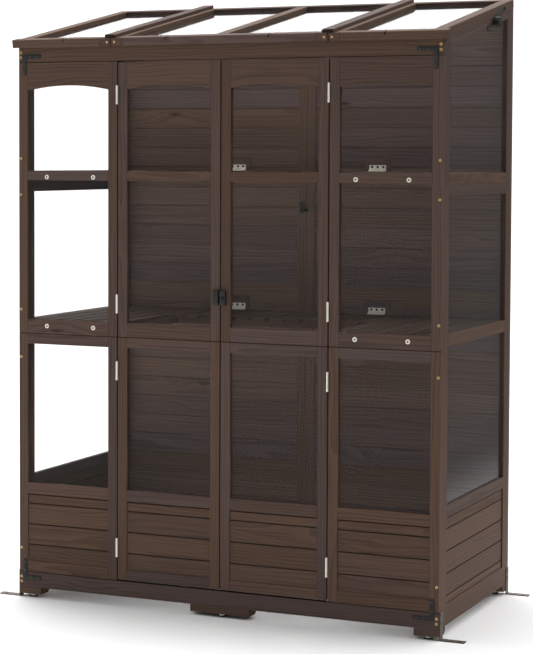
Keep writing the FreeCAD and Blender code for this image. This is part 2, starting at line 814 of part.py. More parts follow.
def roof_frame(name, x_range, muntins, fascia):
    """Rails and panes of one roof frame, with muntins between its panes; a fascia of left or right
    reaches past that side rail at the front."""
    pane_z = (d.roof_thick - d.roof_pane_thick) / 2
    openings = muntins + 1
    width = x_range[1] - x_range[0]
    pane_width = (width - d.roof_rail * (openings + 1)) / openings
    pane_length = roof_length - 2 * d.roof_rail
    frame = []
    panes = []
    front_start = x_range[0] + d.roof_rail
    front_end = x_range[1] - d.roof_rail
    for side, x in (("left", x_range[0]), ("right", front_end)):
        start_y = -roof_length
        if side == fascia:
            start_y = d.roof_rail - roof_length
        size = (d.roof_rail, -start_y, d.roof_thick)
        frame.append(box(name + "_side", (x, start_y, 0), size))
    back_size = (front_end - front_start, d.roof_rail, d.roof_thick)
    frame.append(box(name + "_back", (front_start, -d.roof_rail, 0), back_size))
    if fascia == "left":
        front_start = x_range[0] - d.fascia_reach
    if fascia == "right":
        front_end = x_range[1] + d.fascia_reach
    front_size = (front_end - front_start, d.roof_rail, d.roof_thick)
    front = box(name + "_front", (front_start, -roof_length, 0), front_size)
    drain_z = pane_z + d.roof_pane_thick
    for number in range(openings):
        x = x_range[0] + d.roof_rail + (pane_width + d.roof_rail) * number
        at = (x, d.roof_rail - roof_length, pane_z)
        panes.append(box(name + "_glazing", at, (pane_width, pane_length, d.roof_pane_thick)))
        drain_at = (x + (pane_width - d.drain_width) / 2, -roof_length, drain_z)
        drain_size = (d.drain_width, d.roof_rail, d.roof_thick - drain_z)
        front = cut(name + "_drained", front, box(name + "_drain", drain_at, drain_size))
        if number > 0:
            at = (x - d.roof_rail, d.roof_rail - roof_length, 0)
            size = (d.roof_rail, pane_length, d.roof_thick)
            frame.append(box(name + "_muntin", at, size))
    frame.append(front)
    return frame, panes


roof_seam = {"left": d.roof_seam_left, "right": d.roof_seam_right}


def roof():
    half_seam = d.seam_gap / 2
    x_range = (half_seam - d.roof_seam_left, d.roof_seam_right - half_seam)
    frame, panes = roof_frame("roof_centre", x_range, 1, None)
    on_roof(node("roof_centre_frame", frame))
    on_roof(node("roof_centre_panes", panes))
    for side in SIDES:
        name = "%s_skylight" % side
        x_range = bay_x(side, roof_seam[side] + half_seam, half_width + d.roof_side)
        frame, panes = roof_frame(name, x_range, 0, side)
        on_roof(node(name + "_frame", frame))
        on_roof(node(name + "_pane", panes))
        near = roof_seam[side] - d.batten_width / 2
        x = mirrored_x(side, near, near + d.batten_width)
        size = (d.batten_width, roof_length, d.batten_thick)
        batten = box("%s_batten_strip" % side, (x, -roof_length, d.roof_thick), size)
        on_roof(node("%s_roof_batten" % side, [batten]))


# Hinges. A leaf is drawn with its pin along X and its plate flat on a seat behind it, at -Y.

def hinge_leaf(name, kind, seat, reach):
    """One leaf: the fixed leaf hangs down with two knuckles, the moving one stands up with one."""
    start = knuckle_seat
    third = d.hinge_length / 3
    half_length = d.hinge_length / 2
    inner = third / 2 + d.knuckle_gap / 2
    half_middle = third / 2 - d.knuckle_gap / 2
    if kind == "fixed":
        spans = [(-half_length, half_length - inner), (inner, half_length - inner)]
        bore = d.pin_radius
        plate_z = -(start + reach)
        tab_z = -start
    else:
        spans = [(-half_middle, half_middle * 2)]
        bore = d.pin_radius + d.pin_clear
        plate_z = start
        tab_z = as_size(0)
    plate_at = (-half_length, -seat, plate_z)
    pieces = [box(name + "_plate", plate_at, (d.hinge_length, d.leaf_thick, reach))]
    for x, length in spans:
        pieces.append(box(name + "_tab", (x, -seat, tab_z), (length, d.leaf_thick, start)))
        pieces.append(rod(name + "_knuckle", (x, 0, 0), d.knuckle_radius, length, "+x"))
    hole = rod(name + "_bore", (-half_length, 0, 0), bore, d.hinge_length, "+x")
    return cut(name, fuse(name + "_solid", pieces), hole)


def turned_axes(x, y, z):
    return FreeCAD.Rotation(x, y, z, "XYZ")


LEAF_TURNS = {
    ("left", "fixed"): turned_axes(-Z_AXIS, X_AXIS, -Y_AXIS),
    ("left", "moving"): turned_axes(-Z_AXIS, -X_AXIS, Y_AXIS),
    ("right", "fixed"): turned_axes(Z_AXIS, -X_AXIS, -Y_AXIS),
    ("right", "moving"): turned_axes(Z_AXIS, X_AXIS, Y_AXIS),
}


def hinges():
    half_length = d.hinge_length / 2
    pin = rod("pin", (-half_length, 0, 0), d.pin_radius, d.hinge_length, "+x")
    leaves = {}
    for use, seat, reach in (
        ("door", half_gap, d.leaf_depth),
        ("roof", knuckle_seat, d.strap_reach),
        ("shelf", knuckle_seat, d.strap_reach),
    ):
        for kind in ("fixed", "moving"):
            leaves[use, kind] = hinge_leaf("%s_%s_leaf" % (use, kind), kind, seat, reach)
    fixed = []
    pins = []

    door_axis_y = front_y - knuckle_seat
    for side, sign in SIDES.items():
        moving = []
        for z in (
            sill_z + d.hinge_inset,
            seam_z - d.hinge_inset,
            seam_z + d.hinge_inset,
            head_z - d.hinge_inset,
        ):
            at = (hinge_x * sign, door_axis_y, z)
            fixed_turn = LEAF_TURNS[side, "fixed"]
            fixed.append(group("door_leaf", [leaves["door", "fixed"]], at, fixed_turn))
            pins.append(group("door_pin", [pin], at, fixed_turn))
            turn = LEAF_TURNS[side, "moving"]
            moving.append(group("door_leaf", [leaves["door", "moving"]], at, turn))
        moving += mending_plates(side)
        node("%s_door_hardware" % side, moving)

    half_pitch = tangent(d.roof_angle / 2)
    roof_axis_z = under_roof(back_y) + knuckle_seat * half_pitch
    far_hinge = half_width + d.roof_side - d.roof_hinge_inset
    for side, sign in SIDES.items():
        moving = []
        near_hinge = roof_seam[side] + d.roof_hinge_inset
        for x in (near_hinge * sign, far_hinge * sign):
            at = (x, back_y + knuckle_seat, roof_axis_z)
            fixed.append(group("roof_leaf", [leaves["roof", "fixed"]], at))
            pins.append(group("roof_pin", [pin], at))
            leaf = group("roof_leaf", [leaves["roof", "moving"]], at, FreeCAD.Rotation(X_AXIS, 1))
            leaf.setExpression("Placement.Rotation.Angle", d.roof_angle.text)
            moving.append(leaf)
        moving.append(stay_pivot(side))
        node("%s_skylight_hardware" % side, moving)

    over = FreeCAD.Rotation(X_AXIS, 180)
    forward = FreeCAD.Rotation(X_AXIS, 90)
    for level, shelf_z in SHELVES.items():
        moving = []
        for sign in SIDES.values():
            at = (d.shelf_hinge_spread / 2 * sign, fold_axis_y, shelf_z + knuckle_seat)
            fixed.append(group("shelf_leaf", [leaves["shelf", "fixed"]], at, over))
            pins.append(group("shelf_pin", [pin], at))
            moving.append(group("shelf_leaf", [leaves["shelf", "moving"]], at, forward))
        node("%s_fold_shelf_leaves" % level, moving)
    node("hinge_leaves", fixed)
    node("hinge_pins", pins)


def mending_plates(side):
    """Flat plates on the back of a door, across the seam of its two frames."""
    size = (d.mend_width, d.mend_thick, d.mend_length)
    inset = (d.stile_width - d.mend_width) / 2
    pieces = []
    for near in (half_gap + inset, hinge_x - half_gap - inset - d.mend_width):
        x = mirrored_x(side, near, near + d.mend_width)
        at = (x, inner_front_y, seam_z - d.mend_length / 2)
        pieces.append(box("mending_plate", at, size))
    return pieces


# Latch: a guide with a sliding bolt on the right door, and its keeper on the left one

latch_z = seam_z + d.latch_rise
latch_x = half_gap + d.latch_offset
latch_half = d.latch_height / 2
channel_half = d.bolt_height / 2 + d.slide_clear
cover_y = front_y - d.latch_depth
cover_depth = d.latch_depth - d.bolt_back - d.bolt_depth - d.slide_clear
back_depth = d.bolt_back - d.slide_clear
channel_depth = d.bolt_depth + 2 * d.slide_clear


def latch_channel(name, x):
    """A back plate with two bars, which leave a channel for the bolt between them."""
    bar_height = latch_half - channel_half
    bar_size = (d.latch_width, channel_depth, bar_height)
    bar_y = cover_y + cover_depth
    plate_at = (x, front_y - back_depth, latch_z - latch_half)
    return [
        box(name + "_plate", plate_at, (d.latch_width, back_depth, d.latch_height)),
        box(name + "_low_bar", (x, bar_y, latch_z - latch_half), bar_size),
        box(name + "_high_bar", (x, bar_y, latch_z + channel_half), bar_size),
    ]


def latch():
    thumb_half = d.bolt_height / 4
    thumb_x = latch_x + (d.latch_width - d.thumb_width) / 2
    thumb_y = cover_y - d.bolt_depth
    slot_half = thumb_half + d.slide_clear
    slot_x = thumb_x + d.thumb_width + d.slide_clear
    cover_height = latch_half - slot_half
    strip_size = (d.latch_width, cover_depth, cover_height)
    end_size = (latch_x + d.latch_width - slot_x, cover_depth, 2 * slot_half)
    guide = latch_channel("guide", latch_x)
    guide.append(box("guide_low_cover", (latch_x, cover_y, latch_z - latch_half), strip_size))
    guide.append(box("guide_high_cover", (latch_x, cover_y, latch_z + slot_half), strip_size))
    guide.append(box("guide_end_cover", (slot_x, cover_y, latch_z - slot_half), end_size))
    node("latch_guide", guide)
    keeper_x = -latch_x - d.latch_width
    keeper = latch_channel("keeper", keeper_x)
    cover_size = (d.latch_width, cover_depth, d.latch_height)
    keeper.append(box("keeper_cover", (keeper_x, cover_y, latch_z - latch_half), cover_size))
    node("latch_keeper", keeper)
    bolt_y = front_y - d.bolt_back - d.bolt_depth
    bolt_at = (latch_x, bolt_y, latch_z - d.bolt_height / 2)
    bar = box("bolt_bar", bolt_at, (d.latch_width, d.bolt_depth, d.bolt_height))
    thumb_size = (d.thumb_width, bolt_y - thumb_y, 2 * thumb_half)
    thumb = box("bolt_thumb", (thumb_x, thumb_y, latch_z - thumb_half), thumb_size)
    node("latch_bolt", [fuse("thumb_bolt", [bar, thumb])])


# Skylight stays: a slotted arm on the skylight, held by a knob on the side wall

pivot_y = back_y - d.stay_pivot_run * cos_pitch - d.roof_thick / 2 * sin_pitch
pivot_z = under_roof(back_y) - d.stay_pivot_run * sin_pitch + d.roof_thick / 2 * cos_pitch
knob_y = back_y - d.stay_knob_run
knob_z = under_roof(knob_y) - d.side_top_rail / 2
stay_run = pivot_y - knob_y
stay_drop = pivot_z - knob_z
stay_reach = root(stay_run * stay_run + stay_drop * stay_drop)
roof_edge_x = half_width + d.roof_side
arm_x = roof_edge_x + d.washer_gap
arm_play = d.stay_thick + d.washer_gap


def stay_pivot(side):
    """The shoulder screw that carries the arm on the edge of the skylight."""
    sign = SIDES[side]
    towards = outward(side)
    pieces = []
    for start, radius, length in (
        (roof_edge_x, d.post_radius, d.washer_gap / 2),
        (roof_edge_x, d.stud_radius, d.washer_gap + arm_play),
        (arm_x + arm_play, d.post_radius, d.head_height),
    ):
        pieces.append(rod("pivot_screw", (start * sign, pivot_y, pivot_z), radius, length, towards))
    return fuse("%s_pivot_screw" % side, pieces)


def stay_arm_body():
    body = doc.addObject("PartDesign::Body", "slotted_arm")
    sketch = new_sketch(body, "YZ_Plane")
    half_arm = d.stay_width / 2
    slot_radius = d.stud_radius + d.stay_slack
    draw_slot(sketch, as_size(0), d.stay_length - half_arm, half_arm)
    slot_start = stay_reach - d.stay_slack
    draw_slot(sketch, slot_start, d.stay_length - half_arm - slot_start, slot_radius)
    hole = sketch.addGeometry(Part.Circle(FreeCAD.Vector(0, 0, 0), Z_AXIS, d.stud_radius.value))
    sketch.addConstraint(Sketcher.Constraint("Coincident", hole, 3, -1, 1))
    index = sketch.addConstraint(Sketcher.Constraint("Radius", hole, d.stud_radius.value))
    sketch.setExpression("Constraints[%d]" % index, (d.stud_radius + d.pin_clear).text)
    pad = body.newObject("PartDesign::Pad", "slotted_arm_pad")
    pad.Profile = sketch
    pad.setExpression("Length", d.stay_thick.text)
    return body


def stays():
    arm = stay_arm_body()
    knob = turned("stay_knob", [
        (d.stud_radius + d.pin_clear, 0),
        (d.knob_radius - d.knob_chamfer, 0),
        (d.knob_radius, d.knob_chamfer),
        (d.knob_radius, d.knob_length - d.knob_chamfer),
        (d.knob_radius - d.knob_chamfer, d.knob_length),
        (0, d.knob_length),
        (0, d.knob_bore + d.washer_gap),
        (d.stud_radius + d.pin_clear, d.knob_bore + d.washer_gap),
    ])
    angle = 180 + arc_tangent(stay_drop, stay_run)
    knob_x = arm_x + arm_play
    for side, sign in SIDES.items():
        x = mirrored_x(side, arm_x, arm_x + d.stay_thick)
        item = node("%s_stay_arm" % side, [arm], (x, pivot_y, pivot_z), FreeCAD.Rotation(X_AXIS, 1))
        item.setExpression("Placement.Rotation.Angle", angle.text)
        at = (knob_x * sign, knob_y, knob_z)
        node("%s_stay_knob" % side, [knob], at, TURN_TO[outward(side)])
        shoulder = rod(
            "post_shoulder", (half_width * sign, knob_y, knob_z), d.post_radius,
            d.roof_side + d.washer_gap / 2, outward(side))
        stud = rod(
            "post_stud", (half_width * sign, knob_y, knob_z), d.stud_radius,
            knob_x - half_width + d.knob_bore, outward(side))
        PIVOT_POSTS.append(fuse("%s_post" % side, [shoulder, stud]))


# Turn buttons that hold the folding shelves up against the back wall

def turn_buttons():
    folded = 2 * knuckle_seat + d.slat_thick + d.bearer
    shoulder = folded + d.fold_clear
    half = d.button_width / 2
    bar = box("button_bar", (-half, 0, 0), (d.button_width, d.button_thick, d.button_length))
    boss = rod("button_boss", (0, 0, 0), half, d.button_thick, "+y")
    hole_radius = d.peg_radius + d.pin_clear
    hole = rod("button_hole", (0, 0, 0), hole_radius, d.button_thick, "+y")
    button = cut("button", fuse("button_solid", [bar, boss]), hole)
    neck = d.button_thick + 2 * d.rest_gap
    for level, shelf_z in SHELVES.items():
        z = shelf_z + knuckle_seat + d.fold_depth + d.button_rise
        face_y = inner_back_y - shoulder
        node("%s_turn_button" % level, [button], (0, face_y - d.rest_gap - d.button_thick, z))
        pieces = [
            rod("peg_shoulder", (0, inner_back_y, z), d.post_radius, shoulder, "-y"),
            rod("peg_neck", (0, face_y, z), d.peg_radius, neck, "-y"),
            rod("peg_head", (0, face_y - neck, z), d.post_radius, d.head_height, "-y"),
        ]
        PIVOT_POSTS.append(fuse("%s_peg" % level, pieces))


# Braces, screws and bolts on the front

def corner_braces():
    brace = padded("corner_brace", "XZ_Plane", [
        (0, 0),
        (d.brace_arm, 0),
        (d.brace_arm, d.brace_width),
        (d.brace_width, d.brace_width),
        (d.brace_width, d.brace_arm),
        (0, d.brace_arm),
    ], d.brace_thick)
    edge = half_width - d.brace_inset
    low = sill_z - d.brace_lap
    high = head_z + d.brace_lap
    pieces = []
    for x, z, angle in ((-edge, low, 0), (-edge, high, 90), (edge, high, 180), (edge, low, 270)):
        turn = FreeCAD.Rotation(Y_AXIS, angle)
        pieces.append(group("brace", [brace], (x, front_y, z), turn))
    node("corner_braces", pieces)


def headed(name, head, dome, shank, length):
    """A screw or bolt along Z: its tip is at the origin, its head is on top."""
    return turned(name, [
        (0, 0),
        (shank, 0),
        (shank, length),
        (head, length),
        (head - dome, length + dome),
        (0, length + dome),
    ])


def front_screws():
    screw = headed("wood_screw", d.screw_head, d.screw_dome, d.screw_shank, d.screw_length)
    skirt_middle = base_z + d.skirt_height / 2
    header_middle = head_z + d.header_height / 2
    heights = (
        skirt_middle - d.screw_edge,
        skirt_middle + d.screw_edge,
        sill_z + d.screw_spread,
        seam_z - d.screw_spread,
        seam_z + d.screw_spread,
        shelf_high_z - d.screw_spread,
        shelf_high_z + d.screw_spread / 2,
        header_middle - d.screw_edge,
        header_middle + d.screw_edge,
    )
    pieces = []
    for sign in SIDES.values():
        for z in heights:
            at = ((half_width - d.screw_edge) * sign, front_y + d.screw_length, z)
            pieces.append(group("front_screw", [screw], at, TURN_TO["-y"]))
    node("panel_screws", pieces)


def shelf_bolts():
    bolt = headed("round_bolt", d.bolt_head, d.bolt_dome, d.bolt_shank, d.bolt_length)
    tip_y = front_y + d.bolt_length
    pieces = []
    for shelf_z in SHELVES.values():
        z = shelf_z - d.slat_thick - d.bearer / 2
        for sign in SIDES.values():
            for inset in (d.bolt_edge, d.bolt_edge + d.bolt_spacing):
                at = ((half_width - inset) * sign, tip_y, z)
                pieces.append(group("front_bolt", [bolt], at, TURN_TO["-y"]))
    node("shelf_bolts", pieces)


foot_blocks()
glides()
ground_anchors()
front_wall()
doors()
side_walls()
back_wall()
fixed_shelves()
folding_shelves()
roof()
hinges()
latch()
stays()
turn_buttons()
corner_braces()
front_screws()
shelf_bolts()
node("wall_planks", WALL_PLANKS)
node("wall_panes", WALL_PANES)
node("pivot_posts", PIVOT_POSTS)
doc.recompute()

faults = []
for item in doc.Objects:
    if "Invalid" in item.State or "Error" in item.State:
        faults.append("%s is %s" % (item.Name, item.State))
for item in NODES:
    if item.Shape.isNull() or not item.Shape.isValid() or not item.Shape.Solids:
        faults.append("%s has no good shape" % item.Label)
if faults:
    raise RuntimeError("; ".join(faults))

os.makedirs("parts", exist_ok=True)
for item in NODES:
    item.Shape.exportStep("parts/%s.step" % item.Label)
print("%d nodes written" % len(NODES))
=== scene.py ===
import json
import logging
import math
from dataclasses import dataclass, field
from enum import Enum
from typing import Iterable, Optional, Protocol

import bmesh
import bpy
from mathutils import Matrix, Vector

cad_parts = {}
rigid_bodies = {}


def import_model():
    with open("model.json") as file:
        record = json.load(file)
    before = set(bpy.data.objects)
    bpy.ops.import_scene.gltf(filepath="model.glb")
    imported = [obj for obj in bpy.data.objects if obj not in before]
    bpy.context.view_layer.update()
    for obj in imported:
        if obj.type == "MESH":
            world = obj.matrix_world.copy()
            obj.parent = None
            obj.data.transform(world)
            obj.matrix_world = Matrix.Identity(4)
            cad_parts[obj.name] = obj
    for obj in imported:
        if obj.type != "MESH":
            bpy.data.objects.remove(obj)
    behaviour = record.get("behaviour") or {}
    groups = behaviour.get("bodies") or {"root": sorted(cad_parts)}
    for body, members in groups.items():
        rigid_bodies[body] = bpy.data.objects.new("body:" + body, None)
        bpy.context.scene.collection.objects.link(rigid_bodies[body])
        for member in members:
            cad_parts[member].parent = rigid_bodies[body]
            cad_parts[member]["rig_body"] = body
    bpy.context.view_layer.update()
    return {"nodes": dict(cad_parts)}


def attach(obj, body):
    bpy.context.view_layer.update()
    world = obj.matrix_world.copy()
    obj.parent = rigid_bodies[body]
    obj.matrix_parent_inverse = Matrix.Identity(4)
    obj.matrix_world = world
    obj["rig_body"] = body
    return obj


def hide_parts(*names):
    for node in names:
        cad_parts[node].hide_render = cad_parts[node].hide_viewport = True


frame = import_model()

# Looks of a lean-to greenhouse cabinet in dark stained fir: bevelled boards with grain along each board,
# clear acrylic panes, plated and powder-coated fittings, and a pale studio.

log = logging.getLogger("greenhouse")
Triple = tuple[float, float, float]
MM = 0.001
# Points that are closer than a micrometre are one point.
WELD = MM * MM
FULL_TURN = 2 * math.pi
# Heights of the joints between the skirt, the lower frames, the upper frames and the header.
JOINT_LEVELS = (0.085, 0.870, 1.750)
# Turned pieces are shaded smooth over edges up to this angle, and plain fittings up to the next.
TURNED_SMOOTH = math.radians(40)
FITTING_SMOOTH = math.radians(32)
# Two directions are square to each other when their cosine is below this.
SQUARE = 0.05
FRONT = Vector((0, -1, 0))
RIGHT = Vector((1, 0, 0))
LEFT = Vector((-1, 0, 0))


def linear(colour: str) -> tuple[float, float, float, float]:
    """Turn an sRGB hex colour into linear light.

    Args:
        colour: six hex digits after a hash.

    Returns:
        Red, green, blue and an alpha of one.
    """
    full, knee, slope, lift, power = 255, 0.04045, 12.92, 0.055, 2.4
    shares = [int(colour[at:at + 2], 16) / full for at in (1, 3, 5)]
    light = [s / slope if s <= knee else ((s + lift) / (1 + lift)) ** power for s in shares]
    return (light[0], light[1], light[2], 1.0)


def add_node(tree: bpy.types.NodeTree, kind: str, inputs: dict, **settings: object) -> bpy.types.Node:
    """Add a node with its settings, socket values and links.

    Args:
        tree: the node tree that gets the node.
        kind: Blender's name of the node type.
        inputs: socket name or number to a value, or to the output that feeds it.
        settings: properties of the node itself.

    Returns:
        The new node.
    """
    node = tree.nodes.new(kind)
    for name, value in settings.items():
        setattr(node, name, value)
    for socket, value in inputs.items():
        if isinstance(value, bpy.types.NodeSocket):
            tree.links.new(value, node.inputs[socket])
        else:
            node.inputs[socket].default_value = value
    return node


def empty_material(name: str) -> bpy.types.Material:
    """Make a material with no nodes in it.

    Args:
        name: the material's name.

    Returns:
        The material.
    """
    material = bpy.data.materials.new(name)
    material.use_nodes = True
    material.node_tree.nodes.clear()
    return material


def close_material(material: bpy.types.Material, inputs: dict) -> bpy.types.Material:
    """Close a material with one principled surface.

    Args:
        material: a material whose pattern nodes are in place.
        inputs: sockets of the surface, as add_node takes them.

    Returns:
        The same material.
    """
    tree = material.node_tree
    surface = add_node(tree, "ShaderNodeBsdfPrincipled", inputs)
    add_node(tree, "ShaderNodeOutputMaterial", {"Surface": surface.outputs["BSDF"]})
    return material


class Finish(Protocol):
    """What every finish offers: its name, the record's slot and a material."""

    name: str
    slot: str

    def material(self) -> bpy.types.Material:
        """Build the material."""


@dataclass(frozen=True)
class StainedFir:
    """Planed fir under a dark semi-opaque stain."""

    # The stain hides most of the figure: soft streaks, low rings and the odd knot show through, boards differ
    # a little in tone and some lean to purple. Edges are paler where the stain is thin, and the edges of end
    # grain soak it up and are darker. Grooves are darker with pooled stain and painted shade, and the joints
    # between the modules get painted shade. Real rings of 2 to 4 mm and fibres of under 1 mm are too fine for
    # the render, so both are drawn coarser.
    name: str = "stained_fir"
    slot: str = "stained_fir"
    early: str = "#574439"
    late: str = "#493930"
    streak: str = "#5f4b3e"
    plum_cast: str = "#bccdf1"
    knot: str = "#2a1c15"
    thin: str = "#70594b"
    # Near black: painted shade in grooves and joints, and the dark of end grain that soaks up stain.
    soak_and_shade_tint: str = "#1a120e"
    # Every board is cut from its own place in the tree.
    board_shift: Triple = (17.0, 5.0, 9.0)
    heart: Triple = (0.0, -0.14, -0.03)
    heart_spread: Triple = (0.0, 0.28, -0.02)
    across: Triple = (0.0, 1.0, 1.0)
    # Rings, with the share of each where late wood begins and is full, and how far they wander.
    ring_mm: float = 9.0
    late_from: float = 0.1
    late_full: float = 0.95
    wander_mm: float = 70.0
    wander_per_m: float = 1.6
    wander_depth: float = 0.05
    # Knots, with the rings that swirl round them.
    knots_per_m: Triple = (2.2, 9.0, 14.0)
    knot_core: float = 0.02
    knot_edge: float = 0.08
    knot_share: float = 0.7
    swirl_reach: float = 0.4
    swirl_depth: float = 0.015
    # Fibres and the streaks that they draw.
    fibre_mm: float = 4.0
    fibre_length_mm: float = 420.0
    streak_from: float = 0.4
    streak_full: float = 0.8
    streak_share: float = 0.9
    # Wear and shine of the surface.
    wear: float = 0.16
    silky: float = 0.55
    dull: float = 0.8
    shine: float = 0.08
    late_rise: float = 0.4
    bump: float = 0.3
    bump_mm: float = 0.4

    def material(self) -> bpy.types.Material:
        """Build the wood from the boards' own grain attribute.

        Returns:
            The material.
        """
        material = empty_material(self.name)
        tree = material.node_tree
        grain = add_node(tree, "ShaderNodeAttribute", {}, attribute_name="grain").outputs["Vector"]
        board, board_tone, lean, worn, stain_and_shade = (
            add_node(tree, "ShaderNodeAttribute", {}, attribute_name=name).outputs["Fac"]
            for name in ("board", "tone", "lean", "worn", "stain_and_shade")
        )
        own = add_node(
            tree, "ShaderNodeVectorMath", {0: board, 1: self.board_shift, 2: grain}, operation="MULTIPLY_ADD"
        ).outputs[0]
        slow_scale = (self.wander_per_m, 1 / (self.wander_mm * MM), 1 / (self.wander_mm * MM))
        slow_at = add_node(
            tree, "ShaderNodeVectorMath", {0: own, 1: slow_scale}, operation="MULTIPLY"
        ).outputs[0]
        slow = add_node(
            tree, "ShaderNodeTexNoise", {"Vector": slow_at, "Scale": 1.0, "Detail": 2.0}
        ).outputs[0]
        section = add_node(
            tree, "ShaderNodeVectorMath", {0: grain, 1: self.across}, operation="MULTIPLY"
        ).outputs[0]
        heart = add_node(
            tree, "ShaderNodeVectorMath", {0: board, 1: self.heart_spread, 2: self.heart},
            operation="MULTIPLY_ADD",
        ).outputs[0]
        radius = add_node(
            tree, "ShaderNodeVectorMath", {0: section, 1: heart}, operation="DISTANCE"
        ).outputs["Value"]
        knots_at = add_node(
            tree, "ShaderNodeVectorMath", {0: own, 1: self.knots_per_m}, operation="MULTIPLY"
        ).outputs[0]
        nearest = add_node(
            tree, "ShaderNodeTexVoronoi", {"Vector": knots_at, "Scale": 1.0}
        ).outputs["Distance"]
        knot, swirl = (
            add_node(
                tree, "ShaderNodeMapRange", {0: nearest, 1: inner, 2: outer, 3: most, 4: 0.0},
                interpolation_type="SMOOTHSTEP",
            ).outputs[0]
            for inner, outer, most in (
                (self.knot_core, self.knot_edge, self.knot_share), (0.0, self.swirl_reach, self.swirl_depth),
            )
        )
        wander = add_node(
            tree, "ShaderNodeMath", {0: slow, 1: self.wander_depth, 2: radius}, operation="MULTIPLY_ADD"
        ).outputs[0]
        swirled = add_node(tree, "ShaderNodeMath", {0: wander, 1: swirl}, operation="ADD").outputs[0]
        turns = add_node(
            tree, "ShaderNodeMath", {0: swirled, 1: self.ring_mm * MM}, operation="DIVIDE"
        ).outputs[0]
        ring = add_node(tree, "ShaderNodeMath", {0: turns}, operation="FRACT").outputs[0]
        late = add_node(
            tree, "ShaderNodeMapRange", {0: ring, 1: self.late_from, 2: self.late_full},
            interpolation_type="SMOOTHSTEP",
        ).outputs[0]
        fibre_scale = (1 / (self.fibre_length_mm * MM), 1 / (self.fibre_mm * MM), 1 / (self.fibre_mm * MM))
        fibre_at = add_node(
            tree, "ShaderNodeVectorMath", {0: own, 1: fibre_scale}, operation="MULTIPLY"
        ).outputs[0]
        fibre = add_node(
            tree, "ShaderNodeTexNoise", {"Vector": fibre_at, "Scale": 1.0, "Detail": 3.0, "Roughness": 0.6}
        ).outputs[0]
        streaky = add_node(
            tree, "ShaderNodeMapRange",
            {0: fibre, 1: self.streak_from, 2: self.streak_full, 3: 0.0, 4: self.streak_share},
        ).outputs[0]
        wear = add_node(tree, "ShaderNodeMath", {0: worn, 1: self.wear}, operation="MULTIPLY").outputs[0]
        # The last mix lays painted shade into grooves and joints, and darkens end grain.
        colour = linear(self.early)
        for share, over, blend in (
            (late, linear(self.late), "MIX"), (streaky, linear(self.streak), "MIX"),
            (lean, linear(self.plum_cast), "MULTIPLY"), (1.0, board_tone, "MULTIPLY"),
            (knot, linear(self.knot), "MIX"), (wear, linear(self.thin), "MIX"),
            (stain_and_shade, linear(self.soak_and_shade_tint), "MIX"),
        ):
            colour = add_node(
                tree, "ShaderNodeMix", {0: share, 6: colour, 7: over}, data_type="RGBA", blend_type=blend
            ).outputs[2]
        roughness = add_node(tree, "ShaderNodeMapRange", {0: fibre, 3: self.silky, 4: self.dull}).outputs[0]
        height = add_node(
            tree, "ShaderNodeMath", {0: late, 1: self.late_rise, 2: fibre}, operation="MULTIPLY_ADD"
        ).outputs[0]
        bump = add_node(
            tree, "ShaderNodeBump", {"Strength": self.bump, "Distance": self.bump_mm * MM, "Height": height}
        ).outputs[0]
        return close_material(material, {
            "Base Color": colour, "Roughness": roughness, "Normal": bump, "Specular IOR Level": self.shine,
        })


@dataclass(frozen=True)
class ClearSheet:
    """Extruded acrylic sheet: clear and glossy."""

    # A thin pane shows what is behind it, under a faint even haze: a film of fine dust scatters about half
    # a percent of the light. The mirror image is much weaker than bare acrylic's index of 1.49 gives, so the
    # index is matched to that.
    name: str = "clear_acrylic"
    slot: str = "clear_sheet"
    tint: str = "#fbfcfc"
    smear_mm: float = 140.0
    smear_from: float = 0.5
    smear_full: float = 0.9
    smear_roughness: float = 0.02
    index: float = 1.1
    clear_share: float = 0.995

    def material(self) -> bpy.types.Material:
        """Build the clear sheet.

        Returns:
            The material.
        """
        material = empty_material(self.name)
        tree = material.node_tree
        place = add_node(tree, "ShaderNodeTexCoord", {}).outputs["Object"]
        smear = add_node(
            tree, "ShaderNodeTexNoise", {"Vector": place, "Scale": 1 / (self.smear_mm * MM), "Detail": 2.0}
        ).outputs[0]
        roughness = add_node(
            tree, "ShaderNodeMapRange",
            {0: smear, 1: self.smear_from, 2: self.smear_full, 3: 0.0, 4: self.smear_roughness},
        ).outputs[0]
        return close_material(material, {
            "Base Color": linear(self.tint), "Roughness": roughness, "IOR": self.index,
            "Transmission Weight": self.clear_share,
        })


